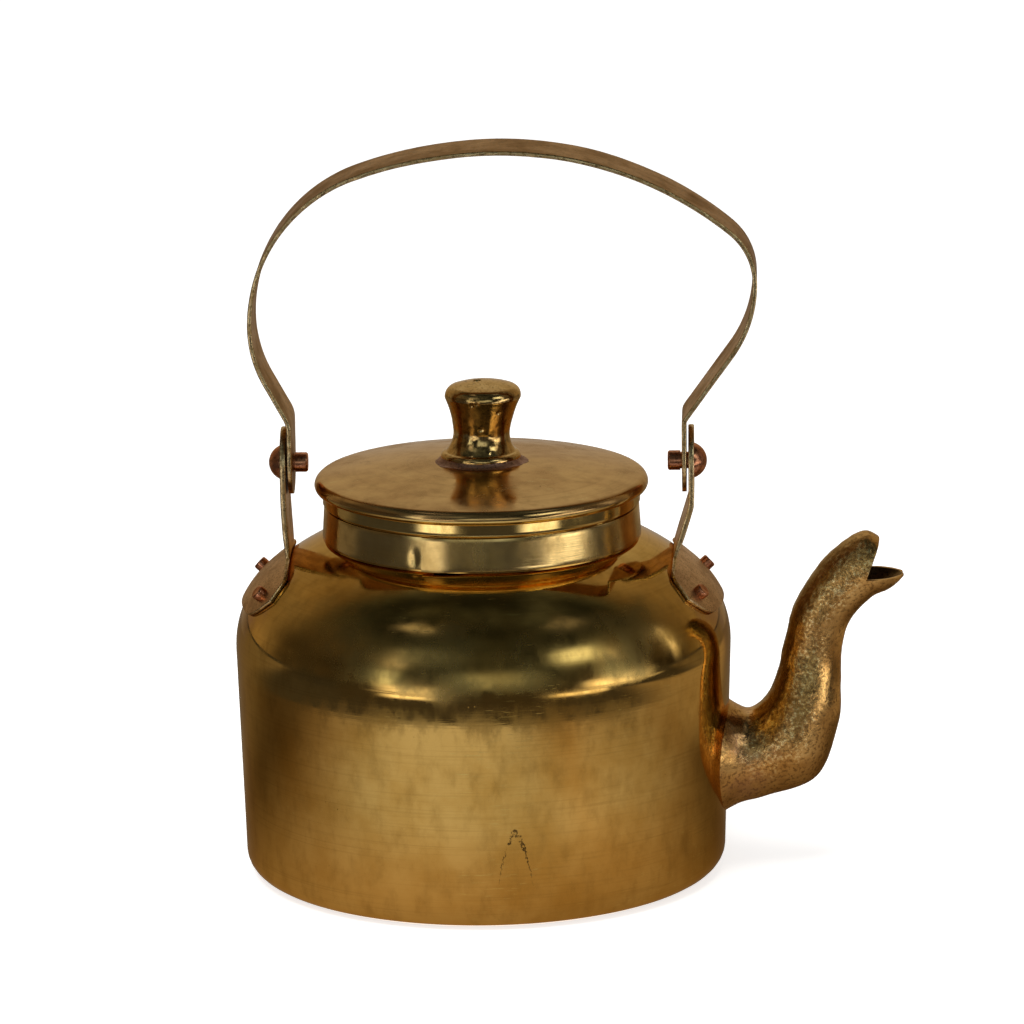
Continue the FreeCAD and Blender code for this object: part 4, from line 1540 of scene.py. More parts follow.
@dataclass
class Riveting:
    """The tongue rivets and the pivot rivets, in millimetres."""

    shell: Shell
    left_reach: float
    right_reach: float
    rise: float = math.radians(41.5)
    spread: float = 15.0
    skew: float = 2.5
    shank: float = 4.0
    head: float = 8.0
    head_rise: float = 1.4
    head_round: float = 6.6
    head_sink: float = 0.4
    tail: float = 4.8
    tail_rise: float = 2.4
    tail_round: float = 0.6
    tail_sink: float = 0.2
    tail_dish: float = 0.15
    tongue: float = 1.32
    strap: float = 1.3
    pivot_height: float = PIVOT_HEIGHT
    pivot_shank: float = 5.6
    pivot_head: float = 11.8
    pivot_head_rise: float = 4.9
    pivot_head_round: float = 6.2
    brim: float = 0.4
    brim_run: float = 0.3
    pivot_tail: float = 6.6
    pivot_tail_rise: float = 4.2
    pivot_tail_round: float = 0.8
    pivot_reach: float = 2.7

    def tongue_section(self) -> Outline:
        """Section of a tongue rivet about its own axis, from the head inside to the tail outside.

        Returns:
            The open outline.
        """
        line = Outline(step=0.25)
        under = -self.shell.gauge - self.head_sink
        top = self.tongue + self.tail_rise
        line.line(0.0, under - self.head_rise).arc(self.head / 2, under, self.head_round, 1)
        line.line(self.shank / 2, under).line(self.shank / 2, self.tongue - self.tail_sink)
        line.line(self.tail / 2, self.tongue - self.tail_sink).line(self.tail / 2, top - self.tail_round)
        rim = self.tail / 2 - self.tail_round
        line.sweep((rim, top - self.tail_round), self.tail_round, 0.0, math.pi / 2)
        line.line(0.0, top - self.tail_dish)
        return line

    def pivot_section(self) -> Outline:
        """Section of a pivot rivet about its own axis, from the tail inside to the dome outside.

        Returns:
            The open outline.
        """
        line = Outline(step=0.3)
        foot = -self.pivot_reach - self.pivot_tail_rise
        edge = self.pivot_tail_round
        line.line(0.0, foot).line(self.pivot_tail / 2 - edge, foot)
        line.sweep((self.pivot_tail / 2 - edge, foot + edge), edge, -math.pi / 2, 0.0)
        line.line(self.pivot_tail / 2, -self.pivot_reach).line(self.pivot_shank / 2, -self.pivot_reach)
        line.line(self.pivot_shank / 2, self.strap).line(self.pivot_head / 2 - self.brim_run, self.strap)
        line.arc(self.pivot_head / 2, self.strap + self.brim, self.brim, 1)
        line.arc(0.0, self.strap + self.pivot_head_rise, self.pivot_head_round, 1)
        return line

    def build(self) -> list[bpy.types.Object]:
        """Make both sets of rivets.

        Returns:
            The finished pieces.
        """
        hub = self.shell.shoulder_hub
        reach = hub[0] + self.shell.shoulder_radius * math.cos(self.rise)
        height = hub[1] + self.shell.shoulder_radius * math.sin(self.rise)
        turns = {
            "rivet_right_front": -self.spread - self.skew,
            "rivet_right_rear": self.spread - self.skew,
            "rivet_left_front": 180.0 + self.spread + self.skew,
            "rivet_left_rear": 180.0 - self.spread + self.skew,
        }
        places = []
        for bearing in turns.values():
            spin = Matrix.Rotation(math.radians(bearing), 4, "Z")
            tilt = Matrix.Rotation(math.pi / 2 - self.rise, 4, "Y")
            places.append(spin @ Matrix.Translation((reach * MM, 0.0, height * MM)) @ tilt)
        made = [Rivets("tongue_rivets", tuple(turns), self.tongue_section(), places).build()]
        pivots = []
        for side, out in ((Side.LEFT, self.left_reach), (Side.RIGHT, self.right_reach)):
            spot = Matrix.Translation((side.value * out * MM, 0.0, self.pivot_height * MM))
            pivots.append(spot @ Matrix.Rotation(side.value * math.pi / 2, 4, "Y"))
        names = ("pivot_rivet_left", "pivot_rivet_right")
        made.append(Rivets("pivot_rivets", names, self.pivot_section(), pivots).build())
        return made


@dataclass
class Bail:
    """Flat strip bent to an arch, in millimetres."""

    left_reach: float
    right_reach: float
    gauge: float = 1.5
    width: float = 24.0
    edge: float = 0.45
    edge_steps: int = 4
    cut_facing: float = 0.45
    gap: float = 0.6
    foot: float = 10.5
    pivot_height: float = PIVOT_HEIGHT
    top_height: float = 244.7
    top_shift: float = 7.7
    bulges: tuple[Point, Point] = ((75.6, 186.5), (91.5, 200.5))
    flanks: tuple[float, float] = (53.0, 22.0)
    calves: tuple[float, float] = (40.0, 42.0)
    leans: tuple[float, float] = (math.radians(29.0), math.radians(36.0))
    bends: tuple[float, float] = (9.0, 4.0)
    nick: float = 0.22
    nick_size: float = 3.0
    nick_shift: float = 40.0
    rim: float = 1.2
    arch_middle: float = 190.0
    wave: float = 0.25
    wave_size: float = 24.0
    wave_start: Point = (15.0, 40.0)
    shortest: float = 0.05

    def half_arch(self, side: Side) -> list[Point]:
        """Middle line of one side of the arch, from the foot to the top.

        Args:
            side: Side of the kettle.

        Returns:
            Points as distance along X and height.
        """
        pick = 0 if side is Side.LEFT else 1
        out = (self.left_reach, self.right_reach)[pick] - self.gap - self.gauge / 2
        bulge, lean = self.bulges[pick], self.leans[pick]
        flank, calf, bend = self.flanks[pick], self.calves[pick], self.bends[pick]
        calf_end = (bulge[0] - calf * (1 - math.cos(lean)), bulge[1] - calf * math.sin(lean))
        knee = out + bend * (1 - math.cos(lean))
        knee_top = (knee, calf_end[1] - (calf_end[0] - knee) / math.tan(lean))
        shift = side.value * self.top_shift
        hub = bulge[0] - flank
        over = self.top_height - bulge[1]
        crown = ((hub - shift) ** 2 + over * over - flank * flank) / (2 * (over - flank))
        middle = (shift, self.top_height - crown)
        turn = math.atan2(bulge[1] - middle[1], hub - middle[0])
        line = Outline(step=1.0)
        line.line(out, self.pivot_height - self.foot)
        line.step = 0.5
        line.line(out, self.pivot_height)
        line.step = 1.0
        line.line(out, knee_top[1] - bend * math.sin(lean))
        line.arc(knee_top[0], knee_top[1], bend, -1)
        line.line(*calf_end)
        line.arc(bulge[0], bulge[1], calf, 1)
        line.sweep((hub, bulge[1]), flank, 0.0, turn)
        line.sweep(middle, crown, turn, math.pi / 2)
        return [(side.value * across, along) for across, along in line.points]

    def recipe(self) -> Recipe:
        """Node tree that draws a rounded strip along the path.

        Returns:
            The tree, with inputs named Width, Gauge, Edge and Finish.
        """
        made = Recipe("bail_strip", {"Width": "Float", "Gauge": "Float", "Edge": "Float"})
        given = made.given
        path = made.step("GeometryNodeMeshToCurve", {"Mesh": given["Geometry"]})
        flat = made.step("GeometryNodeCurvePrimitiveQuadrilateral", {
            "Width": given["Gauge"],
            "Height": given["Width"],
        })
        soft = made.step("GeometryNodeFilletCurve", {
            "Curve": flat.outputs["Curve"],
            "Count": self.edge_steps,
            "Radius": given["Edge"],
        }, mode="POLY")
        drawn = made.step("GeometryNodeCurveToMesh", {
            "Curve": path.outputs["Curve"],
            "Profile Curve": soft.outputs["Curve"],
            "Fill Caps": True,
        })
        made.close(drawn.outputs["Mesh"])
        return made

    def worn(self, spot: Vector) -> Vector:
        """Move a point of the strip by the end round, the nicked edges and a slight wave.

        Args:
            spot: Point of the plain strip.

        Returns:
            The moved point.
        """
        half = self.width / 2
        below = self.pivot_height - spot.z
        ring = (half * half + self.foot * self.foot) / (2 * self.foot)
        room = half
        if below > 0:
            room = math.sqrt(max(ring * ring - (below + ring - self.foot) ** 2, 1.0))
        moved = spot.copy()
        moved.y *= min(room, half) / half
        rim = ease(abs(spot.y), half - self.rim, half)
        side = Vector((spot.x, self.nick_shift if spot.y > 0 else -self.nick_shift, spot.z))
        moved.y -= math.copysign(rim * self.nick * (0.6 + rough(side, self.nick_size, 4)), spot.y)
        arch = ease(spot.z - self.pivot_height, *self.wave_start)
        middle = Vector((self.top_shift, 0.0, self.arch_middle))
        out = (Vector((spot.x, 0.0, spot.z)) - middle).normalized()
        return moved - out * (self.wave * arch * (0.5 + 0.5 * rough(spot, self.wave_size, 2)))

    def build(self) -> bpy.types.Object:
        """Make the bail.

        Returns:
            The finished piece.
        """
        path = self.half_arch(Side.LEFT) + self.half_arch(Side.RIGHT)[::-1]
        spots: list[Vector] = []
        for across, along in path:
            spot = Vector((across, 0.0, along)) * MM
            if not spots or (spot - spots[-1]).length > self.shortest * MM:
                spots.append(spot)
        wire = bpy.data.meshes.new("bail_path")
        wire.from_pydata(spots, [(place, place + 1) for place in range(len(spots) - 1)], [])
        values = {"Width": self.width, "Gauge": self.gauge, "Edge": self.edge}
        sizes = {key: size * MM for key, size in values.items()}
        strip = self.recipe().applied(loose("bail_path", wire), {**sizes, "Finish": HOOPED.material()})
        shape = self.sliced(strip)
        for vertex in shape.vertices:
            vertex.co = self.worn(vertex.co * PER_MM) * MM
        tidied(shape)
        shape.materials.append(CUT_EDGE.material())
        for face in shape.polygons:
            face.material_index = 1 if abs(face.normal.y) > self.cut_facing else 0
        return Role(Body.BAIL, "bail_brass", ("bail_handle",)).settle("bail_strip", shape)

    def sliced(self, mesh: bpy.types.Mesh) -> bpy.types.Mesh:
        """Cut the strip's broad faces lengthwise, so that wear can shape them.

        Args:
            mesh: Plain strip.

        Returns:
            The same mesh with more faces.
        """
        shape = bmesh.new()
        shape.from_mesh(mesh)
        half = self.width / 2
        for cut in (-half + self.rim, -half / 2, 0.0, half / 2, half - self.rim):
            every = shape.verts[:] + shape.edges[:] + shape.faces[:]
            bmesh.ops.bisect_plane(shape, geom=every, plane_co=(0.0, cut * MM, 0.0), plane_no=(0.0, 1.0, 0.0))
        shape.to_mesh(mesh)
        shape.free()
        return mesh


@dataclass
class Spout:
    """Cast spout that bends up from the wall into a beak, in millimetres."""

    shell: Shell
    wall: float = 1.8
    lip_wall: float = 1.3
    lip_bulge: float = 0.25
    notch_reach: float = 127.7
    notch_height: float = 99.3
    notch_run: float = 8.6
    notch_rise: float = 24.0
    notch_depth: float = 30.0
    notch_tip_rise: float = 0.5
    skin: float = 0.16
    skin_size: float = 2.6
    wave_size: float = 11.0
    raw_side: Corner = (-0.75, -0.62, 0.2)
    raw_start: Point = (30.0, 48.0)
    raw_facing: Point = (0.1, 0.75)
    root_end: float = 2.5
    root_sink_share: float = 0.6
    probes: int = 600
    steps: int = 160
    rings: int = 190

    def station(self, place: float) -> tuple[Vector, Vector]:
        """Upper and lower point of the section at a place along the spout.

        Args:
            place: Number of the section, with parts of it.

        Returns:
            The two points.
        """
        last = len(SPOUT_SECTIONS) - 1
        index = min(int(place), last - 1)
        part = place - index
        rows = [SPOUT_SECTIONS[min(max(index + step, 0), last)] for step in (-1, 0, 1, 2)]
        found = []
        for column in range(4):
            before, start, end, after = (row[column] for row in rows)
            slope, turn = (end - before) / 2, (after - start) / 2
            found.append(
                start + slope * part + (3 * (end - start) - 2 * slope - turn) * part ** 2
                + (2 * (start - end) + slope + turn) * part ** 3
            )
        return Vector((found[0], 0.0, found[1])), Vector((found[2], 0.0, found[3]))

    def spot(self, place: float, turn: float, depth: float) -> Vector:
        """Point of the tube.

        Args:
            place: Number of the section, with parts of it.
            turn: Angle round the section from its upper point.
            depth: Distance below the outer face.

        Returns:
            The point.
        """
        upper, lower = self.station(place)
        middle, arm = (upper + lower) / 2, (upper - lower) / 2
        ring = arm.length
        share = (ring - depth) / ring
        return middle + (arm * math.cos(turn) + Vector((0.0, ring * math.sin(turn), 0.0))) * share

    def cut_away(self, spot: Vector) -> bool:
        """Test whether a point lies in the beak's notch.

        Args:
            spot: Point of the tube.

        Returns:
            True in the notch.
        """
        run, rise = spot.x - self.notch_reach, spot.z - self.notch_height
        above = rise > run * self.notch_tip_rise / self.notch_depth
        return above and run > rise * self.notch_run / self.notch_rise

    def limits(self, turn: float, inner: bool) -> tuple[float, float]:
        """Where one line along the tube leaves the wall and where it ends.

        Args:
            turn: Angle round the section from its upper point.
            inner: True for the bore.

        Returns:
            The two places along the spout.
        """
        last = len(SPOUT_SECTIONS) - 1
        sink = self.root_sink_share * self.shell.gauge
        start, end = 0.0, float(last)
        for place in range(self.probes + 1):
            here = last * place / self.probes
            spot = self.spot(here, turn, self.depth(here) if inner else 0.0)
            if here < self.root_end and math.hypot(spot.x, spot.y) < self.shell.reach(spot.z) - sink:
                start = here
            if here > last / 2 and self.cut_away(spot):
                end = here
                break
        return start, end

    def depth(self, place: float) -> float:
        """Thickness of the wall at a place along the spout."""
        last = len(SPOUT_SECTIONS) - 1
        return self.wall + (self.lip_wall - self.wall) * ease(place, 0.6 * last, last)

    def cast(self, spot: Vector, middle: Vector) -> Vector:
        """Move a point of the outer face by its cast skin.

        Args:
            spot: Point of the true form.
            middle: Centre of its section.

        Returns:
            The moved point.
        """
        out = (spot - middle).normalized()
        facing = out.dot(Vector(self.raw_side))
        raw = 0.3 + 0.7 * ease(facing, *self.raw_facing) * ease(spot.z, *self.raw_start)
        push = rough(spot, self.skin_size, 5) - 0.6
        slow = rough(spot, self.wave_size, 2) - 0.5
        return spot + out * self.skin * (raw * push + 0.6 * slow)

    def build(self) -> bpy.types.Object:
        """Make the spout.

        Returns:
            The finished piece.
        """
        spots: list[Vector] = []
        lines = self.rings + 1
        for column in range(self.steps):
            turn = math.tau * column / self.steps
            start, end = self.limits(turn, False)
            for ring in range(lines):
                place = start + (end - start) * ring / self.rings
                upper, lower = self.station(place)
                spots.append(self.cast(self.spot(place, turn, 0.0), (upper + lower) / 2))
            inner_start, inner_end = self.limits(turn, True)
            lip = self.spot(inner_end, turn, self.depth(inner_end))
            rim = spots[-1]
            ahead = (rim - spots[-3]).normalized() * self.lip_bulge
            for part, bulge in LIP_PARTS:
                spots.append(rim.lerp(lip, part) + ahead * bulge)
            for ring in range(lines):
                place = inner_end + (inner_start - inner_end) * ring / self.rings
                spots.append(self.spot(place, turn, self.depth(place)))
        count = 2 * lines + len(LIP_PARTS)
        mesh = mesh_from("spout", spots, ring_faces(self.steps, count, True))
        # the bore's faces take the darker finish of painted shade
        for place, face in enumerate(mesh.polygons):
            face.material_index = 1 if lines + 1 < place % count < count - 1 else 0
        finishes = [CAST.material(), BORE_SHADE.material()]
        return Role(Body.KETTLE, "cast_brass", ("spout",)).settle("spout_beak", mesh, finishes)


# Rounding of the lip as places across its wall and shares of its bulge

LIP_PARTS = ((0.2, 0.8), (0.5, 1.0), (0.8, 0.8))

# Upper and lower points of the spout's sections as X and Z, from the root to the mouth

SPOUT_SECTIONS = (
    (76.0, 60.0, 76.0, 15.4),
    (84.8, 54.1, 85.4, 20.5),
    (89.8, 53.2, 93.8, 22.8),
    (95.2, 58.4, 111.6, 29.8),
    (98.7, 67.3, 118.8, 48.0),
    (99.7, 72.3, 119.7, 61.5),
    (100.8, 76.9, 119.9, 73.0),
    (104.2, 89.7, 122.6, 83.2),
    (113.2, 103.8, 129.6, 91.2),
    (121.7, 111.3, 135.4, 94.2),
    (127.8, 113.9, 138.4, 96.4),
    (132.6, 111.6, 140.6, 98.7),
)


# Stage

WARM = (1.0, 0.95, 0.85)
COOL = (0.92, 1.0, 0.9)
AMBER = (1.0, 0.8, 0.55)
POOL_LEVEL = 0.001

TABLE_SHADE = 0.07
TABLE_LIGHTS = (
    ((-0.06, -0.24), 0.33, 0.5),
    ((0.2, -0.12), 0.2, 0.3),
    ((0.0, 0.2), 0.24, 0.3),
)


@dataclass(frozen=True)
class Card:
    """Card that faces the kettle or lies before it, in metres and degrees.

    Attributes:
        name: Name of the card.
        bearing: Bearing of its middle, from the camera towards +X.
        turn: Width as seen from the kettle.
        first: Distance and height of its first edge.
        last: Distance and height of its last edge.
        colour: Colour of its light.
        strength: Strength of its light.
        fade: Share of its width over which its edges fade.
    """

    name: str
    bearing: float
    turn: float
    first: Point
    last: Point
    colour: Colour
    strength: float
    fade: float

    def corners(self, azimuth: float) -> list[Corner]:
        """Corners of the card.

        Args:
            azimuth: Bearing of the camera in radians.

        Returns:
            The four corners.
        """
        left, right = (math.radians(self.bearing + side * self.turn) + azimuth for side in (-0.5, 0.5))
        turns = ((left, self.first), (right, self.first), (right, self.last), (left, self.last))
        return [(math.sin(angle) * edge[0], -math.cos(angle) * edge[0], edge[1]) for angle, edge in turns]


def pool(name: str, bearing: float, turn: float, near: float, far: float, colour: Colour,
         strength: float) -> Card:
    """Pool of light on the table, from a near to a far distance."""
    return Card(name, bearing, turn, (near, POOL_LEVEL), (far, POOL_LEVEL), colour, strength, 0.3)


def panel(name: str, bearing: float, turn: float, away: float, low: float, high: float, colour: Colour,
          strength: float) -> Card:
    """Upright card at one distance, from a low to a high edge."""
    return Card(name, bearing, turn, (away, low), (away, high), colour, strength, 0.35)


CARDS = (
    pool("near_left", -32.0, 34.0, 0.44, 0.72, WARM, 1.7),
    pool("near_right", 40.0, 36.0, 0.44, 0.72, WARM, 1.7),
    pool("far_left", -32.0, 48.0, 0.76, 1.05, WARM, 0.9),
    pool("far_right", 62.0, 54.0, 0.74, 1.0, WARM, 1.2),
    pool("table_right", 100.0, 90.0, 0.27, 0.6, AMBER, 0.3),
    panel("low_left", -32.0, 40.0, 1.06, -0.05, 0.16, WARM, 1.3),
    panel("low_right", 62.0, 44.0, 1.01, -0.05, 0.16, WARM, 2.1),
    panel("strip_left", -45.0, 16.0, 1.3, 0.0, 0.6, COOL, 1.0),
    panel("strip_right", 61.0, 14.0, 1.3, 0.0, 0.5, COOL, 1.1),
    panel("strip_side", 98.0, 6.0, 1.3, 0.0, 1.0, WARM, 1.3),
    panel("tall_left", -43.0, 16.0, 1.29, 0.45, 1.35, WARM, 0.9),
    panel("tall_right", 63.0, 12.0, 1.29, 0.35, 0.95, WARM, 0.9),
    panel("window_right", 48.0, 34.0, 1.31, 0.55, 1.2, COOL, 1.9),
    panel("window_left", -30.0, 50.0, 1.31, 0.6, 1.5, COOL, 0.25),
    panel("haze_front", 4.0, 56.0, 1.33, 0.05, 0.6, COOL, 0.55),
    panel("top_left", -62.0, 44.0, 0.8, 1.35, 2.4, WARM, 0.5),
    panel("top_right", 76.0, 36.0, 0.8, 1.2, 2.2, WARM, 0.3),
)


def level_corners(low: Point, high: Point, level: float) -> list[Corner]:
    """Four corners of a level rectangle between two opposite ones."""
    places = (low, (high[0], low[1]), high, (low[0], high[1]))
    return [(*place, level) for place in places]


@dataclass
class Studio:
    """Camera, floor, lights and the cards that the metal mirrors, in metres."""

    target: tuple[float, float, float] = (0.0101, 0.0, 0.121)
    elevation: float = math.radians(13.64)
    azimuth: float = math.radians(2.0)
    roll: float = math.radians(0.75)
    distance: float = 2.247
    focal_pixels: float = 6741.0
    frame_pixels: float = 1024.0
    sensor: float = 36.0
    table_radius: float = 0.284
    table_steps: int = 96
    table_level: float = 0.0003
    room: float = 3.0
    room_steps: int = 64
    sky_light: float = 0.4
    floor_level: float = -0.0003
    floor_light: float = 0.72
    dark_level: float = 0.0001
    dark_light: float = 0.05
    back_level: float = 0.0006
    back_light: float = 0.16
    back_fade: float = 0.1
    back_start: float = 0.04
    back_reach: float = 1.5
    backdrop_half: float = 0.5
    backdrop_away: float = 0.5
    backdrop_top: float = 1.2
    backdrop_light: float = 0.44
    backdrop_fade: float = 0.45
    lamp_spot: Corner = (-0.3, -0.5, 1.7)
    lamp_turn: Point = (math.radians(-16.0), math.radians(-10.0))
    lamp_size: float = 1.4
    lamp_power: float = 22.0

    def camera(self) -> None:
        """Set the camera at the photo's viewing angle."""
        level = Vector((math.cos(self.azimuth), math.sin(self.azimuth), 0.0))
        back = Vector((
            math.sin(self.azimuth) * math.cos(self.elevation),
            -math.cos(self.azimuth) * math.cos(self.elevation),
            math.sin(self.elevation),
        ))
        rise = back.cross(level)
        right = level * math.cos(self.roll) - rise * math.sin(self.roll)
        up = level * math.sin(self.roll) + rise * math.cos(self.roll)
        data = bpy.data.cameras.new("camera")
        data.sensor_width = self.sensor
        data.lens = self.sensor * self.focal_pixels / self.frame_pixels
        data.clip_end = 4.0 * self.distance
        obj = bpy.data.objects.new("camera", data)
        obj.matrix_world = Matrix.Translation(Vector(self.target) + back * self.distance) @ Matrix(
            (right, up, back)
        ).transposed().to_4x4()
        bpy.context.scene.collection.objects.link(obj)
        bpy.context.scene.camera = obj

    def glow(self, name: str, colour: Colour, strength: float, soft: float = 0.0) -> bpy.types.Material:
        """Material that only shines.

        Args:
            name: Name of the material.
            colour: Colour of the light.
            strength: Strength of the light, where 1 is white.
            soft: Share of the card's width over which its edges fade.

        Returns:
            The material.
        """
        made = bpy.data.materials.new(name)
        made.use_nodes = True
        pen = Pen(made.node_tree)
        made.node_tree.nodes.clear()
        shine = pen.node("ShaderNodeEmission")
        shine.inputs["Color"].default_value = (*colour, 1.0)
        shine.inputs["Strength"].default_value = strength
        out = pen.node("ShaderNodeOutputMaterial")
        light = shine.outputs[0]
        if soft:
            share: Value = 1.0
            for part in pen.spread(pen.place("UV"))[:2]:
                inset = pen.math("SUBTRACT", 0.5, pen.math("ABSOLUTE", pen.math("SUBTRACT", part, 0.5)))
                share = pen.math("MULTIPLY", share, pen.ramp(inset, 0.0, soft))
            faded = pen.node("ShaderNodeMixShader")
            pen.feed(faded.inputs[0], share)
            pen.feed(faded.inputs[1], pen.node("ShaderNodeBsdfTransparent").outputs[0])
            pen.feed(faded.inputs[2], light)
            light = faded.outputs[0]
        pen.feed(out.inputs["Surface"], light)
        return made

    def sheet(self, name: str, corners: Sequence[Corner]) -> bpy.types.Object:
        """Flat sheet with four corners.

        Args:
            name: Name of the sheet.
            corners: Its corners in metres.

        Returns:
            The sheet, with coordinates of its own from 0 to 1.
        """
        mesh = bpy.data.meshes.new(name)
        mesh.from_pydata([Vector(corner) for corner in corners], [], [(0, 1, 2, 3)])
        layer = mesh.uv_layers.new(name="card")
        for loop, spot in zip(layer.data, ((0.0, 0.0), (1.0, 0.0), (1.0, 1.0), (0.0, 1.0))):
            loop.uv = spot
        return loose(name, mesh)

    def card(self, name: str, corners: Sequence[Corner], material: bpy.types.Material) -> None:
        """Flat card that only the metal sees."""
        self.unseen(self.sheet(name, corners), material)

    def unseen(self, obj: bpy.types.Object, material: bpy.types.Material) -> None:
        """Keep a stage object for mirror images only.

        Args:
            obj: Object of the stage.
            material: Material that shines.
        """
        obj.data.materials.append(material)
        obj.visible_camera = False
        obj.visible_diffuse = False
        obj.visible_shadow = False

    def seen(self, pen: Pen) -> Socket:
        """1 for what the eye sees, directly or mirrored, and 0 for the light that is given.

        Args:
            pen: Pen on the material's or world's tree.

        Returns:
            The number.
        """
        path = pen.node("ShaderNodeLightPath").outputs
        either = pen.math("MAXIMUM", path["Is Camera Ray"], path["Is Glossy Ray"])
        return pen.math("MAXIMUM", either, path["Is Transmission Ray"])

    def floor(self) -> None:
        """Plain pale floor that keeps the kettle's shadow."""
        half = 2.0 * self.room
        obj = self.sheet("floor", level_corners((-half, -half), (half, half), self.floor_level))
        made = bpy.data.materials.new("floor")
        made.use_nodes = True
        pen = Pen(made.node_tree)
        shader = made.node_tree.nodes["Principled BSDF"]
        shader.inputs["Base Color"].default_value = (0.82, 0.8, 0.77, 1.0)
        shader.inputs["Roughness"].default_value = 0.9
        shader.inputs["Specular IOR Level"].default_value = 0.0
        shader.inputs["Emission Color"].default_value = (1.0, 1.0, 1.0, 1.0)
        pen.feed(shader.inputs["Emission Strength"], pen.math("MULTIPLY", self.seen(pen), self.floor_light))
        obj.data.materials.append(made)

    def world(self) -> None:
        """White surroundings for the eye and for mirror images, dimmer for the light they give."""
        world = bpy.data.worlds.new("studio")
        bpy.context.scene.world = world
        world.use_nodes = True
        pen = Pen(world.node_tree)
        sky = world.node_tree.nodes["Background"]
        pen.feed(sky.inputs["Strength"], pen.ramp(self.seen(pen), 0.0, 1.0, self.sky_light, 1.0))
        sky.inputs["Color"].default_value = (1.0, 1.0, 1.0, 1.0)

    def lamp(self) -> None:
        """Broad soft light from above."""
        data = bpy.data.lights.new("overhead", "AREA")
        data.shape = "DISK"
        data.size = self.lamp_size
        data.energy = self.lamp_power
        obj = bpy.data.objects.new("overhead", data)
        turn = Euler((*self.lamp_turn, 0.0)).to_matrix().to_4x4()
        obj.matrix_world = Matrix.Translation(self.lamp_spot) @ turn
        obj.visible_glossy = False
        bpy.context.scene.collection.objects.link(obj)

    def table(self) -> bpy.types.Material:
        """Table top that is brightest in front of the kettle.

        Returns:
            The material.
        """
        made = self.glow("table", (1.0, 0.9, 0.72), 1.0)
        pen = Pen(made.node_tree)
        shine = made.node_tree.nodes["Emission"]
        where = pen.place("Object")
        light: Value = TABLE_SHADE
        tone: Value = 0.0
        for centre, wide, strength in TABLE_LIGHTS:
            away = pen.vector("DISTANCE", where, (*centre, 0.0)).outputs["Value"]
            lit = pen.ramp(away, wide, 0.15 * wide, 0.0, strength)
            light = pen.math("ADD", light, lit)
            tone = pen.math("MAXIMUM", tone, lit)
        pen.feed(shine.inputs["Strength"], light)
        clear = pen.ramp(pen.vector("LENGTH", where).outputs["Value"], 0.09, 0.2, 0.15, 1.0)
        white = pen.math("MULTIPLY", pen.ramp(tone, 0.0, 0.45), clear)
        pen.feed(shine.inputs["Color"], pen.mix(white, (1.0, 0.72, 0.42), (1.0, 0.97, 0.9)))
        return made

    def clouds(self) -> bpy.types.Material:
        """Dim room with paler areas.

        Returns:
            The material.
        """
        made = self.glow("room", (0.9, 1.0, 0.82), 1.0)
        pen = Pen(made.node_tree)
        where = pen.place("Object")
        haze = pen.ramp(pen.noise(where, 0.8, 3.0, 0.5), 0.42, 0.78, 0.015, 0.09)
        x, y, z = pen.spread(where)
        beside = pen.ramp(pen.math("ABSOLUTE", x), 0.45 * self.room, 0.95 * self.room, 0.0, 0.11)
        behind = pen.ramp(y, 0.15 * self.room, 0.6 * self.room, 0.0, 0.22)
        high = pen.ramp(z, 0.2 * self.room, 0.7 * self.room, 0.1, 1.0)
        light = pen.math("ADD", haze, pen.math("ADD", pen.math("MULTIPLY", beside, high), behind))
        shine = made.node_tree.nodes["Emission"]
        pen.feed(shine.inputs["Strength"], light)
        aside = pen.ramp(pen.math("ADD", beside, behind), 0.0, 0.11)
        pen.feed(shine.inputs["Color"], pen.mix(aside, (0.9, 1.0, 0.82), (1.0, 0.76, 0.45)))
        return made

    def cards(self) -> None:
        """Dim room, dark floor with a lit table top, backdrop, pools of light and upright cards."""
        wide, half, away = self.room, self.backdrop_half, self.backdrop_away
        self.card("dark_floor", level_corners((-wide, -wide), (wide, wide), self.dark_level),
                  self.glow("shade", (1.0, 0.9, 0.75), self.dark_light))
        level = self.table_level * PER_MM
        disc = Outline(points=[(0.0, level), (self.table_radius * PER_MM, level)])
        self.unseen(loose("table_top", lathe("table_top", disc, self.table_steps)), self.table())
        rings = Outline(step=0.2).sweep((0.0, 0.0), wide, 0.0, math.pi / 2)
        dome = Outline(points=[(r * PER_MM, z * PER_MM) for r, z in rings.points])
        self.unseen(loose("room", lathe("room", dome, self.room_steps)), self.clouds())
        edges = ((-half, -half), (half, -half), (half, self.backdrop_top), (-half, self.backdrop_top))
        self.card("backdrop", [(x, away, z) for x, z in edges],
                  self.glow("backdrop", (1.0, 0.95, 0.86), self.backdrop_light, self.backdrop_fade))
        far = self.back_reach
        self.card("back_floor", level_corners((-far, self.back_start), (far, far), self.back_level),
                  self.glow("back_floor", (1.0, 0.82, 0.58), self.back_light, self.back_fade))
        for card in CARDS:
            shine = self.glow(card.name, card.colour, card.strength, card.fade)
            self.card(card.name, card.corners(self.azimuth), shine)

    def build(self) -> None:
        """Set up the stage."""
        bpy.context.scene.view_settings.view_transform = "Standard"
        self.camera()
        self.floor()
        self.world()
        self.lamp()
        self.cards()


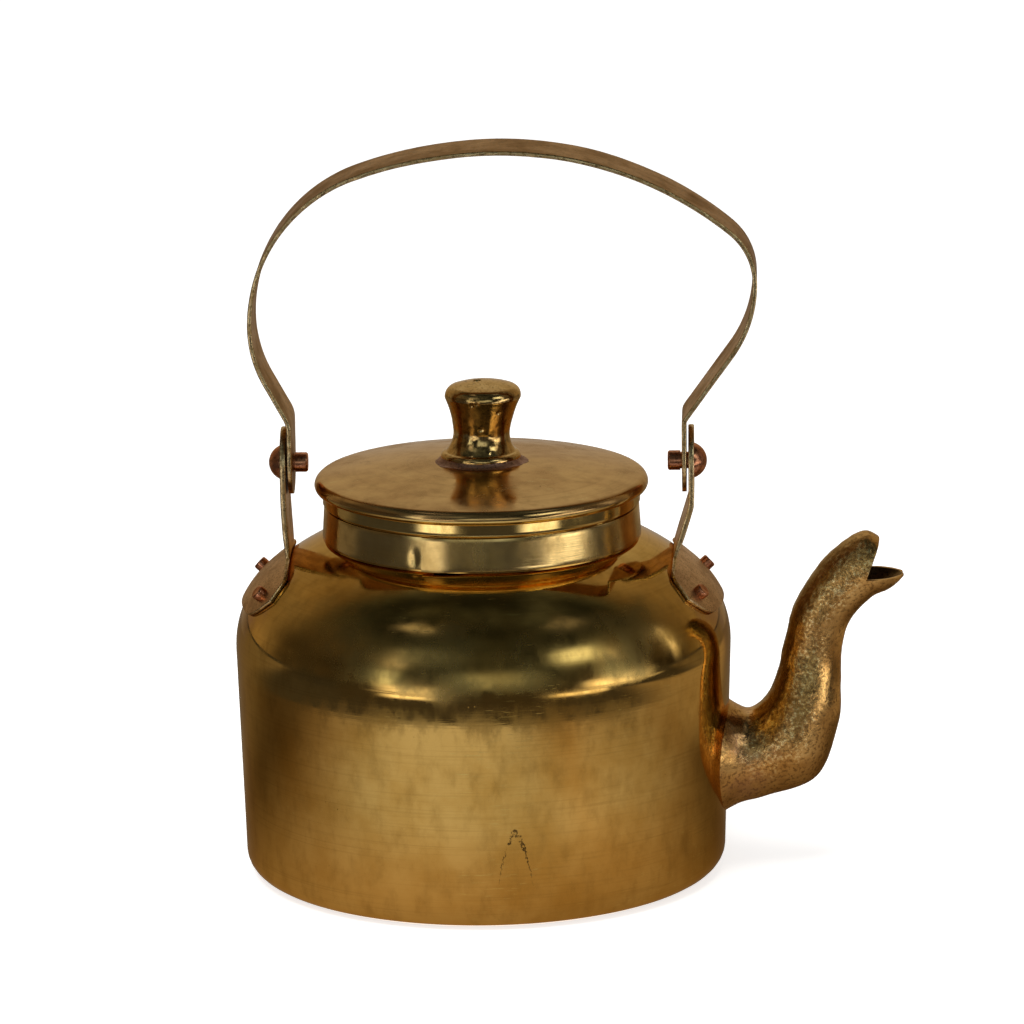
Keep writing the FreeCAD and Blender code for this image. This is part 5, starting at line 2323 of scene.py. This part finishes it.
def main() -> None:
    """Dress the kettle, report its pieces and set the stage."""
    logging.basicConfig(level=logging.INFO)
    left_reach, right_reach = 64.5, 69.0
    shell = Shell()
    pieces = [
        shell.build(),
        NeckBand(shell).build(),
        Spout(shell).build(),
        *Lid().build(),
        Bracket(shell, Side.LEFT, left_reach).build(),
        Bracket(shell, Side.RIGHT, right_reach).build(),
        *Riveting(shell, left_reach, right_reach).build(),
        Bail(left_reach, right_reach).build(),
    ]
    for piece in pieces:
        LOG.info("%s: %d faces", piece.name, len(piece.data.polygons))
    Studio().build()


if __name__ == "__main__":
    main()
